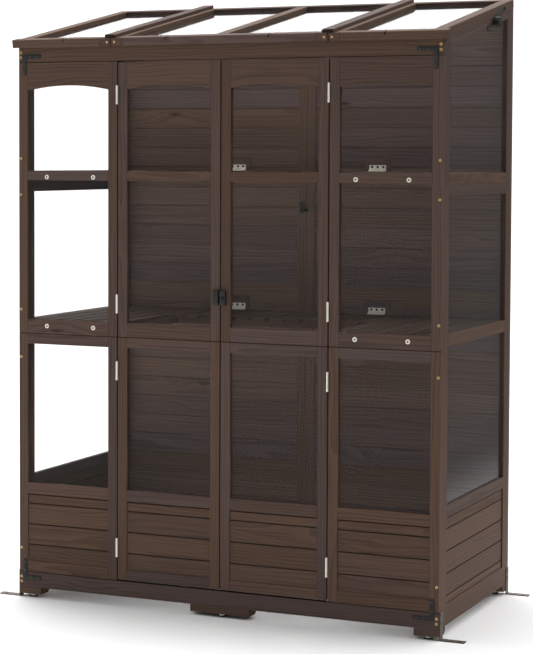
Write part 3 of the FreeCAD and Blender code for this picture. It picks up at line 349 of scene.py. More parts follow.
@dataclass(frozen=True)
class Fitting:
    """A fitting's surface: plating, bare brass, a coat over steel, moulded nylon or rubber."""

    # The tone clouds a little across the piece, fine scuffs or the grain of the coat break up its shine, and
    # a screw's drive recess is painted near black as painted shade. Plating that is dull and greyish white is
    # part metal, part oxide. Grain of under half a millimetre is drawn at one to three, which is the finest
    # that shows.
    name: str
    slot: str
    light: str
    dark: str
    metallic: float
    roughness: float
    cloud_mm: float
    grain_mm: float
    painted_recess_shade: str = "#161412"
    scuffing: float = 0.1
    bump: float = 0.2
    bump_mm: float = 0.1

    def material(self) -> bpy.types.Material:
        """Build the surface.

        Returns:
            The material.
        """
        material = empty_material(self.name)
        tree = material.node_tree
        place = add_node(tree, "ShaderNodeTexCoord", {}).outputs["Object"]
        cloud = add_node(
            tree, "ShaderNodeTexNoise", {"Vector": place, "Scale": 1 / (self.cloud_mm * MM), "Detail": 4.0}
        ).outputs[0]
        clouded = add_node(
            tree, "ShaderNodeMix", {0: cloud, 6: linear(self.dark), 7: linear(self.light)}, data_type="RGBA"
        ).outputs[2]
        # Painted shade: a screw's drive recess is mixed towards near black.
        stain_and_shade = add_node(tree, "ShaderNodeAttribute", {}, attribute_name="stain_and_shade").outputs["Fac"]
        colour = add_node(
            tree, "ShaderNodeMix", {0: stain_and_shade, 6: clouded, 7: linear(self.painted_recess_shade)}, data_type="RGBA"
        ).outputs[2]
        scuff = add_node(
            tree, "ShaderNodeTexNoise", {"Vector": place, "Scale": 1 / (self.grain_mm * MM), "Detail": 2.0}
        ).outputs[0]
        roughness = add_node(
            tree, "ShaderNodeMapRange",
            {0: scuff, 3: self.roughness - self.scuffing, 4: self.roughness + self.scuffing},
        ).outputs[0]
        bump = add_node(
            tree, "ShaderNodeBump", {"Strength": self.bump, "Distance": self.bump_mm * MM, "Height": scuff}
        ).outputs[0]
        return close_material(material, {
            "Base Color": colour, "Roughness": roughness, "Normal": bump, "Metallic": self.metallic,
        })


@dataclass(frozen=True)
class Milling:
    """How a kind of board is milled and stained."""

    # The tone is how light the stain is, and the lean is how far it goes to purple; the tones of the back
    # wall and of the slats also carry painted light and shade, as noted below. The last three say how dark
    # the grooves, the ends and the ends' edges are, from 0 to 1: the ends soak up stain, and the grooves hold
    # pooled stain and painted shade.
    bevel_mm: float
    tone: float
    lean: float
    groove: float = 0.0
    end: float = 0.05
    end_edge: float = 0.45


class Stock(Enum):
    """The kinds of board."""

    FRAME = Milling(1.4, 1.1, 0.4)
    SKIRT = Milling(1.4, 1.12, 0.4)
    PLANK = Milling(0.9, 1.08, 0.0, 0.7)
    # Painted light: these two make the back wall's boards much lighter than the front's, standing in for
    # light that the inside lacks, so from behind the back wall looks lighter.
    BACK_PLANK = Milling(0.9, 1.95, 0.5)
    BACK_FRAME = Milling(1.4, 1.7, 0.5)
    # Painted shade: the slats are made darker than the frames, standing in for shade on the shelves.
    SLAT_PAINTED_SHADE = Milling(1.6, 0.8, 0.0)
    BATTEN = Milling(1.4, 1.0, 0.4, 0.0, 0.85, 0.85)


class Recess(Enum):
    """The drive recess in a screw head."""

    CROSS = "cross"
    HEX = "hex"


FIR = StainedFir()
ACRYLIC = ClearSheet()
ZINC = Fitting("dull_zinc_plate", "zinc_steel", "#fbf5ec", "#eae3d8", 0.35, 0.5, 14.0, 2.0)
# A darker copy of the zinc plate for the turn buttons and skylight hardware: painted shade.
ZINC_PAINTED_SHADE = Fitting("zinc_plate_painted_shade", "zinc_steel", "#4a4643", "#2e2b29", 0.5, 0.5, 9.0, 1.5)
NICKEL = Fitting("nickel_plate", "nickel", "#efe9df", "#cfc8bd", 0.7, 0.35, 20.0, 3.0)
BRASS = Fitting("passivated_brass", "brass", "#e8c785", "#b8955a", 0.7, 0.4, 4.0, 1.0)
BLACK_COAT = Fitting("black_powder_coat", "black_steel", "#131211", "#0b0a0a", 0.0, 0.6, 12.0, 1.2)
WORN_BLACK = Fitting("worn_black_oxide", "black_steel", "#5b5550", "#34302d", 0.6, 0.45, 5.0, 1.0)
BROWN_PAINT = Fitting("brown_paint", "brown_steel", "#4f3e33", "#3a2d24", 0.0, 0.5, 16.0, 1.5)
BLACK_NYLON = Fitting("black_nylon", "black_plastic", "#111011", "#0a0a0a", 0.0, 0.6, 10.0, 1.0)
RUBBER = Fitting("black_rubber", "rubber", "#1c1b1a", "#111010", 0.0, 0.75, 8.0, 1.5)
MATERIALS: dict[str, bpy.types.Material] = {}


def dress(piece: bpy.types.Object, finish: Finish) -> None:
    """Give a piece its finish.

    Args:
        piece: a new piece or a CAD node.
        finish: one of the finishes above.
    """
    if finish.name not in MATERIALS:
        MATERIALS[finish.name] = finish.material()
    if not piece.material_slots:
        piece.data.materials.append(None)
    for place in piece.material_slots:
        place.material = MATERIALS[finish.name]
    log.info("%s is dressed in %s", piece.name, finish.name)


def solid_faces(mesh: bpy.types.Mesh) -> list[list[int]]:
    """Sort a CAD mesh's faces into its solids: a solid is whole when every edge has met its twin.

    Args:
        mesh: the loose triangles of a CAD node.

    Returns:
        One list of face numbers for each solid.
    """
    corners = [tuple(round(c / WELD) for c in v.co) for v in mesh.vertices]
    unpaired: set[tuple] = set()
    solids: list[list[int]] = [[]]
    for face in mesh.polygons:
        loop = [corners[at] for at in face.vertices]
        solids[-1].append(face.index)
        for edge in zip(loop, loop[1:] + loop[:1]):
            twin = (edge[1], edge[0])
            if twin in unpaired:
                unpaired.remove(twin)
            else:
                unpaired.add(edge)
        if not unpaired:
            solids.append([])
    return [solid for solid in solids if solid]


def solid_boxes(node: str) -> list[tuple[Vector, Vector]]:
    """Find the box round each solid of a CAD node.

    Args:
        node: the node's name.

    Returns:
        The lowest and highest corner of each box.
    """
    mesh = frame["nodes"][node].data
    boxes = []
    for solid in solid_faces(mesh):
        points = [mesh.vertices[at].co for face in solid for at in mesh.polygons[face].vertices]
        low = Vector(min(p[axis] for p in points) for axis in range(3))
        high = Vector(max(p[axis] for p in points) for axis in range(3))
        boxes.append((low, high))
    return boxes


def spread(text: str) -> float:
    """Find a steady value for a piece of text.

    Args:
        text: any text.

    Returns:
        A value from 0 to 1 that is always the same for that text.
    """
    total, factor, weight, stride, prime = 7, 131, 977, 7919, 100003
    for letter in text:
        total = (total * factor + ord(letter) * weight) % prime
    return (total * stride % prime) / prime


def ordered(items: Iterable) -> list:
    """List each item once, in the order in which they come, so that every run is the same."""
    return list(dict.fromkeys(items))


def longest(edges: Iterable[bmesh.types.BMEdge], across: Optional[Vector] = None) -> Vector:
    """Find the direction of the longest edge.

    Args:
        edges: the edges of one board.
        across: a direction that the edge must be square to, if one is given.

    Returns:
        A unit vector.
    """
    best = Vector((0, 0, 0))
    for edge in edges:
        run = edge.verts[1].co - edge.verts[0].co
        if across is not None and abs(run.normalized().dot(across)) > SQUARE:
            continue
        if run.length > best.length:
            best = run
    return best.normalized()


def close_mesh(bm: bmesh.types.BMesh, name: str, smooth: Optional[float] = None) -> bpy.types.Mesh:
    """Turn a bmesh into a mesh, and free it.

    Args:
        bm: the finished shape.
        name: the mesh's name.
        smooth: the angle up to which edges are shaded smooth, if any are.

    Returns:
        The mesh.
    """
    mesh = bpy.data.meshes.new(name)
    bm.to_mesh(mesh)
    bm.free()
    if smooth is not None:
        mesh.shade_smooth()
        mesh.set_sharp_from_angle(angle=smooth)
    return mesh


def place_piece(
    name: str, mesh: bpy.types.Mesh, body: str, stands_for: Optional[str] = None
) -> bpy.types.Object:
    """Put a mesh into the scene as a piece that rides on a body.

    Args:
        name: the piece's name.
        mesh: its mesh, in the shared frame.
        body: the body that carries it.
        stands_for: the CAD node that it replaces, if there is one.

    Returns:
        The piece.
    """
    piece = bpy.data.objects.new(name, mesh)
    bpy.context.scene.collection.objects.link(piece)
    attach(piece, body)
    if stands_for is not None:
        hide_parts(stands_for)
    log.info("%s: %d faces, rides on %s", name, len(mesh.polygons), body)
    return piece


@dataclass
class MergedCopy:
    """A CAD node copied with each solid merged whole and its sharp edges bevelled."""

    node: str
    bevel_mm: float
    stock: Optional[Stock] = None
    corner_mm: float = 0.0
    corner_axis: Optional[Vector] = None
    sharp: float = math.radians(35)
    flat: float = math.radians(0.5)
    edge_segments: int = 2
    corner_segments: int = 6
    # Cosines that tell which faces and edges point along an axis.
    end_facing: float = 0.4
    joint_facing: float = 0.2
    corner_facing: float = 0.99
    # How boards differ, and how dark the painted shade is in the joints between the modules.
    tone_least: float = 0.9
    tone_spread: float = 0.22
    lean_spread: float = 0.8
    cast_loss: float = 0.38
    joint_painted_shade: float = 0.85
    joint_bevels: float = 2.0
    groove_share: float = 0.85

    def merge(self, bm: bmesh.types.BMesh, number: int) -> list[bmesh.types.BMFace]:
        """Merge one solid's triangles into whole faces.

        Args:
            bm: the mesh with a solid number on each face.
            number: the solid's number.

        Returns:
            The solid's faces.
        """
        solid = bm.faces.layers.int["solid"]
        faces = [f for f in bm.faces if f[solid] == number]
        bmesh.ops.remove_doubles(bm, verts=ordered(v for f in faces for v in f.verts), dist=WELD)
        faces = [f for f in bm.faces if f[solid] == number]
        bmesh.ops.dissolve_limit(
            bm, angle_limit=self.flat, use_dissolve_boundaries=False,
            verts=ordered(v for f in faces for v in f.verts),
            edges=ordered(e for f in faces for e in f.edges),
        )
        return [f for f in bm.faces if f[solid] == number]

    def bevel(
        self, bm: bmesh.types.BMesh, number: int, edges: list[bmesh.types.BMEdge], size_mm: float,
        segments: int,
    ) -> None:
        """Bevel some edges of a solid and mark the new faces as worn.

        Args:
            bm: the mesh.
            number: the solid's number.
            edges: the edges to bevel.
            size_mm: the bevel's width.
            segments: how many faces the bevel has.
        """
        made = bmesh.ops.bevel(
            bm, geom=edges, offset=size_mm * MM, offset_type="OFFSET", affect="EDGES", segments=segments,
            profile=0.5, material=-1, clamp_overlap=True,
        )
        for face in made["faces"]:
            face[bm.faces.layers.int["solid"]] = number
            face[bm.faces.layers.float["worn"]] = 1.0

    def lay_grain(self, bm: bmesh.types.BMesh, faces: list[bmesh.types.BMFace], number: int) -> None:
        """Bevel a board and write its own places, its tone and its darkened faces: end grain that soaks up
        stain, grooves with pooled stain and painted shade, and joints with painted shade.

        Args:
            bm: the mesh.
            faces: the board's faces before its edges are bevelled.
            number: the board's number.
        """
        milling = self.stock.value
        edges = ordered(e for f in faces for e in f.edges)
        points = ordered(v for f in faces for v in f.verts)
        along = longest(edges)
        wide = longest(edges, along)
        deep = along.cross(wide)
        centre = sum((v.co for v in points), Vector()) / len(points)
        half = max(abs((v.co - centre).dot(deep)) for v in points)
        value = spread("%s %d" % (self.node, number))
        hue = spread("%d hue %s" % (number, self.node))
        lean = min(1.0, max(0.0, milling.lean + self.lean_spread * hue - self.lean_spread / 2))
        tone = milling.tone * (self.tone_least + self.tone_spread * value) / (1 - self.cast_loss * lean)
        sharp = [e for e in edges if len(e.link_faces) == 2 and e.calc_face_angle() > self.sharp]
        self.bevel(bm, number, sharp, self.bevel_mm, self.edge_segments)
        solid = bm.faces.layers.int["solid"]
        stain_and_shade = bm.faces.layers.float["stain_and_shade"]
        worn = bm.faces.layers.float["worn"]
        verts = bm.verts.layers
        for face in [f for f in bm.faces if f[solid] == number]:
            middle = face.calc_center_median()
            at_end = abs(face.normal.dot(along)) > self.end_facing
            gap = min(abs(middle.z - level) for level in JOINT_LEVELS)
            near = gap < self.joint_bevels * self.bevel_mm * MM
            # Painted shade: faces in the seams between the modules are darkened where shade would fall.
            if near and abs(face.normal.z) > self.joint_facing:
                face[stain_and_shade] = self.joint_painted_shade
            elif at_end and face[worn] > 0:
                face[stain_and_shade] = milling.end_edge
            elif at_end:
                face[stain_and_shade] = milling.end
            # Grooves between planks: pooled stain and painted shade.
            elif abs((middle - centre).dot(deep)) < self.groove_share * half:
                face[stain_and_shade] = milling.groove
            for vert in face.verts:
                out = vert.co - centre
                vert[verts.float_vector["grain"]] = Vector((out.dot(along), out.dot(wide), out.dot(deep)))
                vert[verts.float["board"]] = value
                vert[verts.float["tone"]] = tone
                vert[verts.float["lean"]] = lean

    def ease(self, bm: bmesh.types.BMesh, faces: list[bmesh.types.BMFace], number: int) -> None:
        """Round a fitting's corners, if it has any to round, and ease its edges.

        Args:
            bm: the mesh.
            faces: the fitting's faces.
            number: the fitting's number.
        """
        solid = bm.faces.layers.int["solid"]
        if self.corner_axis is not None:
            corners = []
            for edge in ordered(e for f in faces for e in f.edges):
                run = (edge.verts[1].co - edge.verts[0].co).normalized()
                if abs(run.dot(self.corner_axis)) > self.corner_facing and edge.is_convex:
                    corners.append(edge)
            self.bevel(bm, number, corners, self.corner_mm, self.corner_segments)
        edges = ordered(e for f in bm.faces if f[solid] == number for e in f.edges)
        sharp = [e for e in edges if len(e.link_faces) == 2 and e.calc_face_angle() > self.sharp]
        self.bevel(bm, number, sharp, self.bevel_mm, self.edge_segments)

    def build(self, finish: Finish) -> bpy.types.Object:
        """Make the copy.

        Args:
            finish: the finish that it will get.

        Returns:
            The piece that replaces the node.
        """
        source = frame["nodes"][self.node]
        bm = bmesh.new()
        bm.from_mesh(source.data)
        bm.faces.layers.int.new("solid")
        for name in ("worn", "stain_and_shade"):
            bm.faces.layers.float.new(name)
        bm.verts.layers.float_vector.new("grain")
        for name in ("board", "tone", "lean"):
            bm.verts.layers.float.new(name)
        solid = bm.faces.layers.int["solid"]
        bm.faces.ensure_lookup_table()
        solids = solid_faces(source.data)
        for number, faces in enumerate(solids):
            for face in faces:
                bm.faces[face][solid] = number
        for number in range(len(solids)):
            faces = self.merge(bm, number)
            if self.stock is not None:
                self.lay_grain(bm, faces, number)
            else:
                self.ease(bm, faces, number)
        mesh = close_mesh(bm, self.node + "_piece", FITTING_SMOOTH if self.stock is None else None)
        return place_piece(self.node + "_piece", mesh, source["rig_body"], self.node)


def seat(place: Vector, out: Vector, turn: float = 0.0) -> Matrix:
    """Find the matrix of a seat whose +Z points out of a surface.

    Args:
        place: the point on the surface.
        out: the direction away from it.
        turn: turn of the drive recess, in radians.

    Returns:
        The seat's matrix.
    """
    facing = out.to_track_quat("Z", "Y").to_matrix().to_4x4()
    return Matrix.Translation(place) @ facing @ Matrix.Rotation(turn, 4, "Z")


@dataclass
class RoundHead:
    """The head of a screw or bolt, with its drive recess, standing on its seat along +Z."""

    radius_mm: float
    height_mm: float
    recess: Recess
    segments: int = 24
    # Shares of the head's radius: the recess's reach, the crown, the land on it and the flank's inner edge.
    hex_reach: float = 0.45
    slot_reach: float = 0.55
    web_reach: float = 0.22
    crown: float = 0.86
    land: float = 0.15
    flank_from: float = 0.6
    # Shares of the radius and the height down the flank, and the recess's depth as a share of the height.
    flank: tuple[tuple[float, float], ...] = ((0.98, 0.6), (1.0, 0.0))
    recess_depth: float = 0.6
    # Half the angle of a cross recess's slot.
    slot_half: float = math.radians(16)

    def reach(self, angle: float) -> float:
        """How far the recess reaches at an angle, as a share of the head's radius.

        Args:
            angle: the direction, in radians.

        Returns:
            The share.
        """
        if self.recess is Recess.HEX:
            sixth = FULL_TURN / 6
            return self.hex_reach * math.cos(sixth / 2) / math.cos((angle % sixth) - sixth / 2)
        quarter = FULL_TURN / 4
        turn = abs(((angle + quarter / 2) % quarter) - quarter / 2)
        return self.slot_reach if turn < self.slot_half else self.web_reach

    def single(self) -> bpy.types.Mesh:
        """Build one head.

        Returns:
            Its mesh.
        """
        radius, height = self.radius_mm * MM, self.height_mm * MM
        bm = bmesh.new()
        stain_and_shade = bm.faces.layers.float.new("stain_and_shade")
        rim = bmesh.ops.create_circle(
            bm, cap_ends=True, radius=radius * self.crown, segments=self.segments
        )["verts"]
        bmesh.ops.translate(bm, verts=rim, vec=(0, 0, height))
        top = bm.faces[:][0]
        bmesh.ops.inset_region(bm, faces=[top], use_boundary=True, thickness=radius * self.land)
        for vert in top.verts:
            flat = Vector((vert.co.x, vert.co.y, 0)).normalized()
            vert.co = flat * self.reach(math.atan2(flat.y, flat.x)) * radius + Vector((0, 0, height))
        floor = bmesh.ops.extrude_discrete_faces(bm, faces=[top])["faces"][0]
        bmesh.ops.translate(bm, verts=list(floor.verts), vec=(0, 0, -height * self.recess_depth))
        # Painted shade on the floor and walls of the drive recess.
        for face in {f for v in floor.verts for f in v.link_faces}:
            face[stain_and_shade] = 1.0
        edges = [e for e in bm.edges if e.is_boundary and e.verts[0].co.xy.length > radius * self.flank_from]
        for share, level in self.flank:
            ring = bmesh.ops.extrude_edge_only(bm, edges=edges)["geom"]
            edges = [g for g in ring if isinstance(g, bmesh.types.BMEdge)]
            for vert in [g for g in ring if isinstance(g, bmesh.types.BMVert)]:
                flat = Vector((vert.co.x, vert.co.y, 0)).normalized()
                vert.co = flat * radius * share + Vector((0, 0, height * level))
        bmesh.ops.holes_fill(bm, edges=edges, sides=0)
        bmesh.ops.remove_doubles(bm, verts=bm.verts[:], dist=WELD)
        bmesh.ops.recalc_face_normals(bm, faces=bm.faces[:])
        return close_mesh(bm, "head")

    def mesh(self, seats: Iterable[Matrix]) -> bpy.types.Mesh:
        """Copy one head to every seat.

        Args:
            seats: where the heads stand, in metres.

        Returns:
            A mesh that holds them all.
        """
        single = self.single()
        bm = bmesh.new()
        for place in seats:
            start = len(bm.verts)
            bm.from_mesh(single)
            bm.verts.ensure_lookup_table()
            bmesh.ops.transform(bm, matrix=place, verts=bm.verts[start:])
        bpy.data.meshes.remove(single)
        return close_mesh(bm, "heads", TURNED_SMOOTH)


@dataclass
class SubAssembly:
    """One part of the cabinet: its boards, fittings and panes, and any detail of its own."""

    boards: dict[str, Stock] = field(default_factory=dict)
    fittings: dict[str, Finish] = field(default_factory=dict)
    panes: tuple[str, ...] = ()
    ease_mm: float = 0.35
    pieces: list[tuple[bpy.types.Object, Finish]] = field(default_factory=list)

    def build(self) -> None:
        """Bevel the boards, ease the fittings and add the part's own detail."""
        for node, stock in self.boards.items():
            board = MergedCopy(node, stock.value.bevel_mm, stock)
            self.pieces.append((board.build(FIR), FIR))
        for node, finish in self.fittings.items():
            self.pieces.append((MergedCopy(node, self.ease_mm).build(finish), finish))
        for node in self.panes:
            self.pieces.append((frame["nodes"][node], ACRYLIC))
        self.detail()

    def detail(self) -> None:
        """Add nothing: a part with detail of its own has its own method."""

    def heads(
        self, name: str, head: RoundHead, seats: list[Matrix], body: str, finish: Finish,
        stands_for: Optional[str] = None,
    ) -> None:
        """Add a set of screw or bolt heads.

        Args:
            name: the piece's name.
            head: the kind of head.
            seats: where the heads stand.
            body: the body that carries them.
            finish: their finish.
            stands_for: the CAD node that they replace, if there is one.
        """
        piece = place_piece(name, head.mesh(seats), body, stands_for)
        self.pieces.append((piece, finish))

    def front_heads(self, name: str, head: RoundHead, node: str, finish: Finish) -> None:
        """Add a head in place of each plain screw or bolt of a CAD node on the cabinet's front.

        Args:
            name: the piece's name.
            head: the kind of head.
            node: the CAD node that the heads replace.
            finish: their finish.
        """
        seats = []
        for number, (low, high) in enumerate(solid_boxes(node)):
            middle = (low + high) / 2
            place = Vector((middle.x, low.y + head.height_mm * MM, middle.z))
            seats.append(seat(place, FRONT, number))
        self.heads(name, head, seats, "cabinet", finish, node)

    def dress(self) -> None:
        """Finish every piece."""
        for piece, finish in self.pieces:
            dress(piece, finish)


@dataclass
class Ground(SubAssembly):
    """Foot blocks, glides and ground anchors."""

    boards: dict[str, Stock] = field(default_factory=lambda: {"foot_blocks": Stock.FRAME})
    fittings: dict[str, Finish] = field(default_factory=lambda: {
        "glide_caps": NICKEL, "glide_pads": RUBBER, "ground_anchors": BROWN_PAINT,
    })


@dataclass
class FrontWall(SubAssembly):
    """Skirt, header, the two fixed panels, corner braces and brass screws."""

    boards: dict[str, Stock] = field(default_factory=lambda: {"front_skirt": Stock.SKIRT} | dict.fromkeys((
        "header_rail", "front_left_lower_frame", "front_left_upper_frame", "front_right_lower_frame",
        "front_right_upper_frame",
    ), Stock.FRAME))
    screw: RoundHead = field(default_factory=lambda: RoundHead(4.5, 2.0, Recess.CROSS))
    brace_screw: RoundHead = field(default_factory=lambda: RoundHead(4.2, 1.6, Recess.CROSS))
    brace_width_mm: float = 14.0
    brace_round_mm: float = 6.6
    brace_screws_mm: tuple[float, float] = (30.0, 57.0)
    half_height: float = 1.0

    def brace_seats(self) -> list[Matrix]:
        """Find the seats of the brace screws, on the middle line of each arm.

        Returns:
            Two seats for each arm.
        """
        seats = []
        for low, high in solid_boxes("corner_braces"):
            right, top = low.x > 0, low.z > self.half_height
            elbow = Vector((high.x if right else low.x, low.y, high.z if top else low.z))
            across = Vector((-MM if right else MM, 0, 0))
            upward = Vector((0, 0, -MM if top else MM))
            middle = self.brace_width_mm / 2
            for run in self.brace_screws_mm:
                seats.append(seat(elbow + across * run + upward * middle, FRONT, run))
                seats.append(seat(elbow + upward * run + across * middle, FRONT, run))
        return seats

    def detail(self) -> None:
        """Add the rounded braces and all screw heads."""
        brace = MergedCopy("corner_braces", self.ease_mm, None, self.brace_round_mm, FRONT)
        self.pieces.append((brace.build(BLACK_COAT), BLACK_COAT))
        self.heads("brace_screws", self.brace_screw, self.brace_seats(), "cabinet", WORN_BLACK)
        self.front_heads("panel_screw_heads", self.screw, "panel_screws", BRASS)


@dataclass
class Doors(SubAssembly):
    """The two doors with their hinges, latch and mending plates."""

    boards: dict[str, Stock] = field(default_factory=lambda: {
        "left_door_lower_frame": Stock.FRAME, "left_door_upper_frame": Stock.FRAME,
        "right_door_lower_frame": Stock.FRAME, "right_door_upper_frame": Stock.FRAME,
        "left_door_planks": Stock.PLANK, "right_door_planks": Stock.PLANK,
    })
    fittings: dict[str, Finish] = field(default_factory=lambda: {
        "hinge_leaves": ZINC, "hinge_pins": ZINC, "left_door_hardware": ZINC, "right_door_hardware": ZINC,
        "latch_guide": BLACK_COAT, "latch_keeper": BLACK_COAT, "latch_bolt": BLACK_COAT,
    })
    panes: tuple[str, ...] = ("left_door_panes", "right_door_panes")


@dataclass
class Walls(SubAssembly):
    """Side walls, back wall, and all planks and panes that don't move."""

    boards: dict[str, Stock] = field(default_factory=lambda: {
        "left_side_frame": Stock.FRAME, "right_side_frame": Stock.FRAME, "back_frame": Stock.BACK_FRAME,
        "wall_planks": Stock.PLANK, "back_planks": Stock.BACK_PLANK,
    })
    panes: tuple[str, ...] = ("wall_panes",)


@dataclass
class Shelves(SubAssembly):
    """Fixed and folding slatted shelves with their bolts and turn buttons."""

    boards: dict[str, Stock] = field(default_factory=lambda: dict.fromkeys((
        "left_lower_shelf", "left_upper_shelf", "right_lower_shelf", "right_upper_shelf", "lower_fold_shelf",
        "upper_fold_shelf",
    ), Stock.SLAT_PAINTED_SHADE) | {"shelf_cleats": Stock.FRAME})
    fittings: dict[str, Finish] = field(default_factory=lambda: {
        "lower_fold_shelf_leaves": ZINC, "upper_fold_shelf_leaves": ZINC, "pivot_posts": BLACK_COAT,
        "lower_turn_button": ZINC_PAINTED_SHADE, "upper_turn_button": ZINC_PAINTED_SHADE,
    })
    bolt: RoundHead = field(default_factory=lambda: RoundHead(7.5, 3.0, Recess.HEX))
    leaf_screw: RoundHead = field(default_factory=lambda: RoundHead(4.2, 0.9, Recess.CROSS))
    leaf_thick_mm: float = 1.2
    leaf_screws_mm: tuple[float, ...] = (-20.0, 0.0, 20.0)
    leaf_screw_rise_mm: float = 15.0
    # Hinge leaves behind the first line and below the second are those of the shelves, on the back wall.
    leaf_behind: float = 0.3
    leaf_below: float = 1.6

    def leaf_seats(self) -> list[Matrix]:
        """Find three screw seats on each shelf hinge leaf of the back wall.

        Returns:
            The seats.
        """
        seats = []
        for low, high in solid_boxes("hinge_leaves"):
            on_wall = low.y > self.leaf_behind and high.z < self.leaf_below
            for run in self.leaf_screws_mm if on_wall else ():
                across = (low.x + high.x) / 2 + run * MM
                face = high.y - self.leaf_thick_mm * MM
                seats.append(seat(Vector((across, face, low.z + self.leaf_screw_rise_mm * MM)), FRONT, run))
        return seats

    def detail(self) -> None:
        """Add the hinge screws, and the bolt heads that carry the shelves on the front panels."""
        self.heads("shelf_hinge_screws", self.leaf_screw, self.leaf_seats(), "cabinet", BLACK_COAT)
        self.front_heads("shelf_bolt_heads", self.bolt, "shelf_bolts", ZINC)


@dataclass
class Roof(SubAssembly):
    """The fixed middle frame, two skylights with cover battens, and their stays."""

    boards: dict[str, Stock] = field(default_factory=lambda: {
        "roof_centre_frame": Stock.FRAME, "left_skylight_frame": Stock.FRAME,
        "right_skylight_frame": Stock.FRAME, "left_roof_batten": Stock.BATTEN,
        "right_roof_batten": Stock.BATTEN,
    })
    fittings: dict[str, Finish] = field(default_factory=lambda: {
        "left_skylight_hardware": ZINC_PAINTED_SHADE, "right_skylight_hardware": ZINC_PAINTED_SHADE,
        "left_stay_arm": BLACK_COAT, "right_stay_arm": BLACK_COAT,
    })
    panes: tuple[str, ...] = ("roof_centre_panes", "left_skylight_pane", "right_skylight_pane")
    screw: RoundHead = field(default_factory=lambda: RoundHead(4.0, 1.6, Recess.CROSS))
    pitch: float = math.radians(11.3)
    screw_from_seam_mm: float = 13.0
    screw_sunk_share: float = 0.455
    knob_lobes: int = 8
    knob_dip: float = 0.16
    knob_segments: int = 64
    knob_foot: float = 0.9
    # Up the knob: each step's rise as a share of its length, and how it widens or narrows.
    knob_steps: tuple[tuple[float, float], ...] = (
        (0.08, 1 / knob_foot), (0.82, 1.0), (0.1, 0.86), (0.0, 0.7), (-0.08, 0.95),
    )

    def knob(self, side: str, out: Vector) -> None:
        """Turn a lobed knob in place of the plain CAD one.

        Args:
            side: left or right.
            out: the direction that the knob points to.
        """
        node = side + "_stay_knob"
        low, high = solid_boxes(node)[0]
        middle = (low + high) / 2
        length = high.x - low.x
        radius = (high.z - low.z) / 2
        bm = bmesh.new()
        rim = bmesh.ops.create_circle(bm, cap_ends=True, radius=radius, segments=self.knob_segments)["verts"]
        for vert in rim:
            wave = math.cos(self.knob_lobes * math.atan2(vert.co.y, vert.co.x))
            vert.co *= 1 - self.knob_dip * (0.5 - 0.5 * wave) ** 2
        face = bm.faces[:][0]
        bmesh.ops.scale(bm, vec=(self.knob_foot, self.knob_foot, 1.0), verts=rim)
        for rise, share in self.knob_steps:
            face = bmesh.ops.extrude_discrete_faces(bm, faces=[face])["faces"][0]
            bmesh.ops.translate(bm, verts=list(face.verts), vec=(0, 0, rise * length))
            bmesh.ops.scale(bm, vec=(share, share, 1.0), verts=list(face.verts))
        edges = [e for e in bm.edges if e.is_boundary]
        bmesh.ops.holes_fill(bm, edges=edges, sides=0)
        bmesh.ops.recalc_face_normals(bm, faces=bm.faces[:])
        root = Vector((low.x if out.x > 0 else high.x, middle.y, middle.z))
        bmesh.ops.transform(bm, matrix=seat(root, out), verts=bm.verts[:])
        mesh = close_mesh(bm, node + "_piece", TURNED_SMOOTH)
        body = frame["nodes"][node]["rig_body"]
        self.pieces.append((place_piece(node + "_piece", mesh, body, node), BLACK_NYLON))

    def seam_screws(self) -> None:
        """Add the brass screws in the front rail on both sides of each roof seam."""
        out = Vector((0, -math.cos(self.pitch), -math.sin(self.pitch)))
        rails: dict[str, list[Matrix]] = {"cabinet": [], "left_skylight": [], "right_skylight": []}
        for side in ("left", "right"):
            low, high = solid_boxes(side + "_roof_batten")[0]
            seam = (low.x + high.x) / 2
            rail = min(solid_boxes(side + "_skylight_frame"), key=lambda box: box[1].y)
            middle = (rail[0] + rail[1]) / 2
            deep = (rail[1].y - rail[0].y) * math.cos(self.pitch)
            face = middle + out * (deep * self.screw_sunk_share)
            for shift in (-self.screw_from_seam_mm * MM, self.screw_from_seam_mm * MM):
                inner = shift * seam < 0
                body = "cabinet" if inner else side + "_skylight"
                rails[body].append(seat(Vector((seam + shift, face.y, face.z)), out, shift))
        for body, seats in rails.items():
            self.heads("roof_seam_screws_" + body, self.screw, seats, body, BRASS)

    def detail(self) -> None:
        """Add the knobs and the seam screws."""
        self.knob("left", LEFT)
        self.knob("right", RIGHT)
        self.seam_screws()


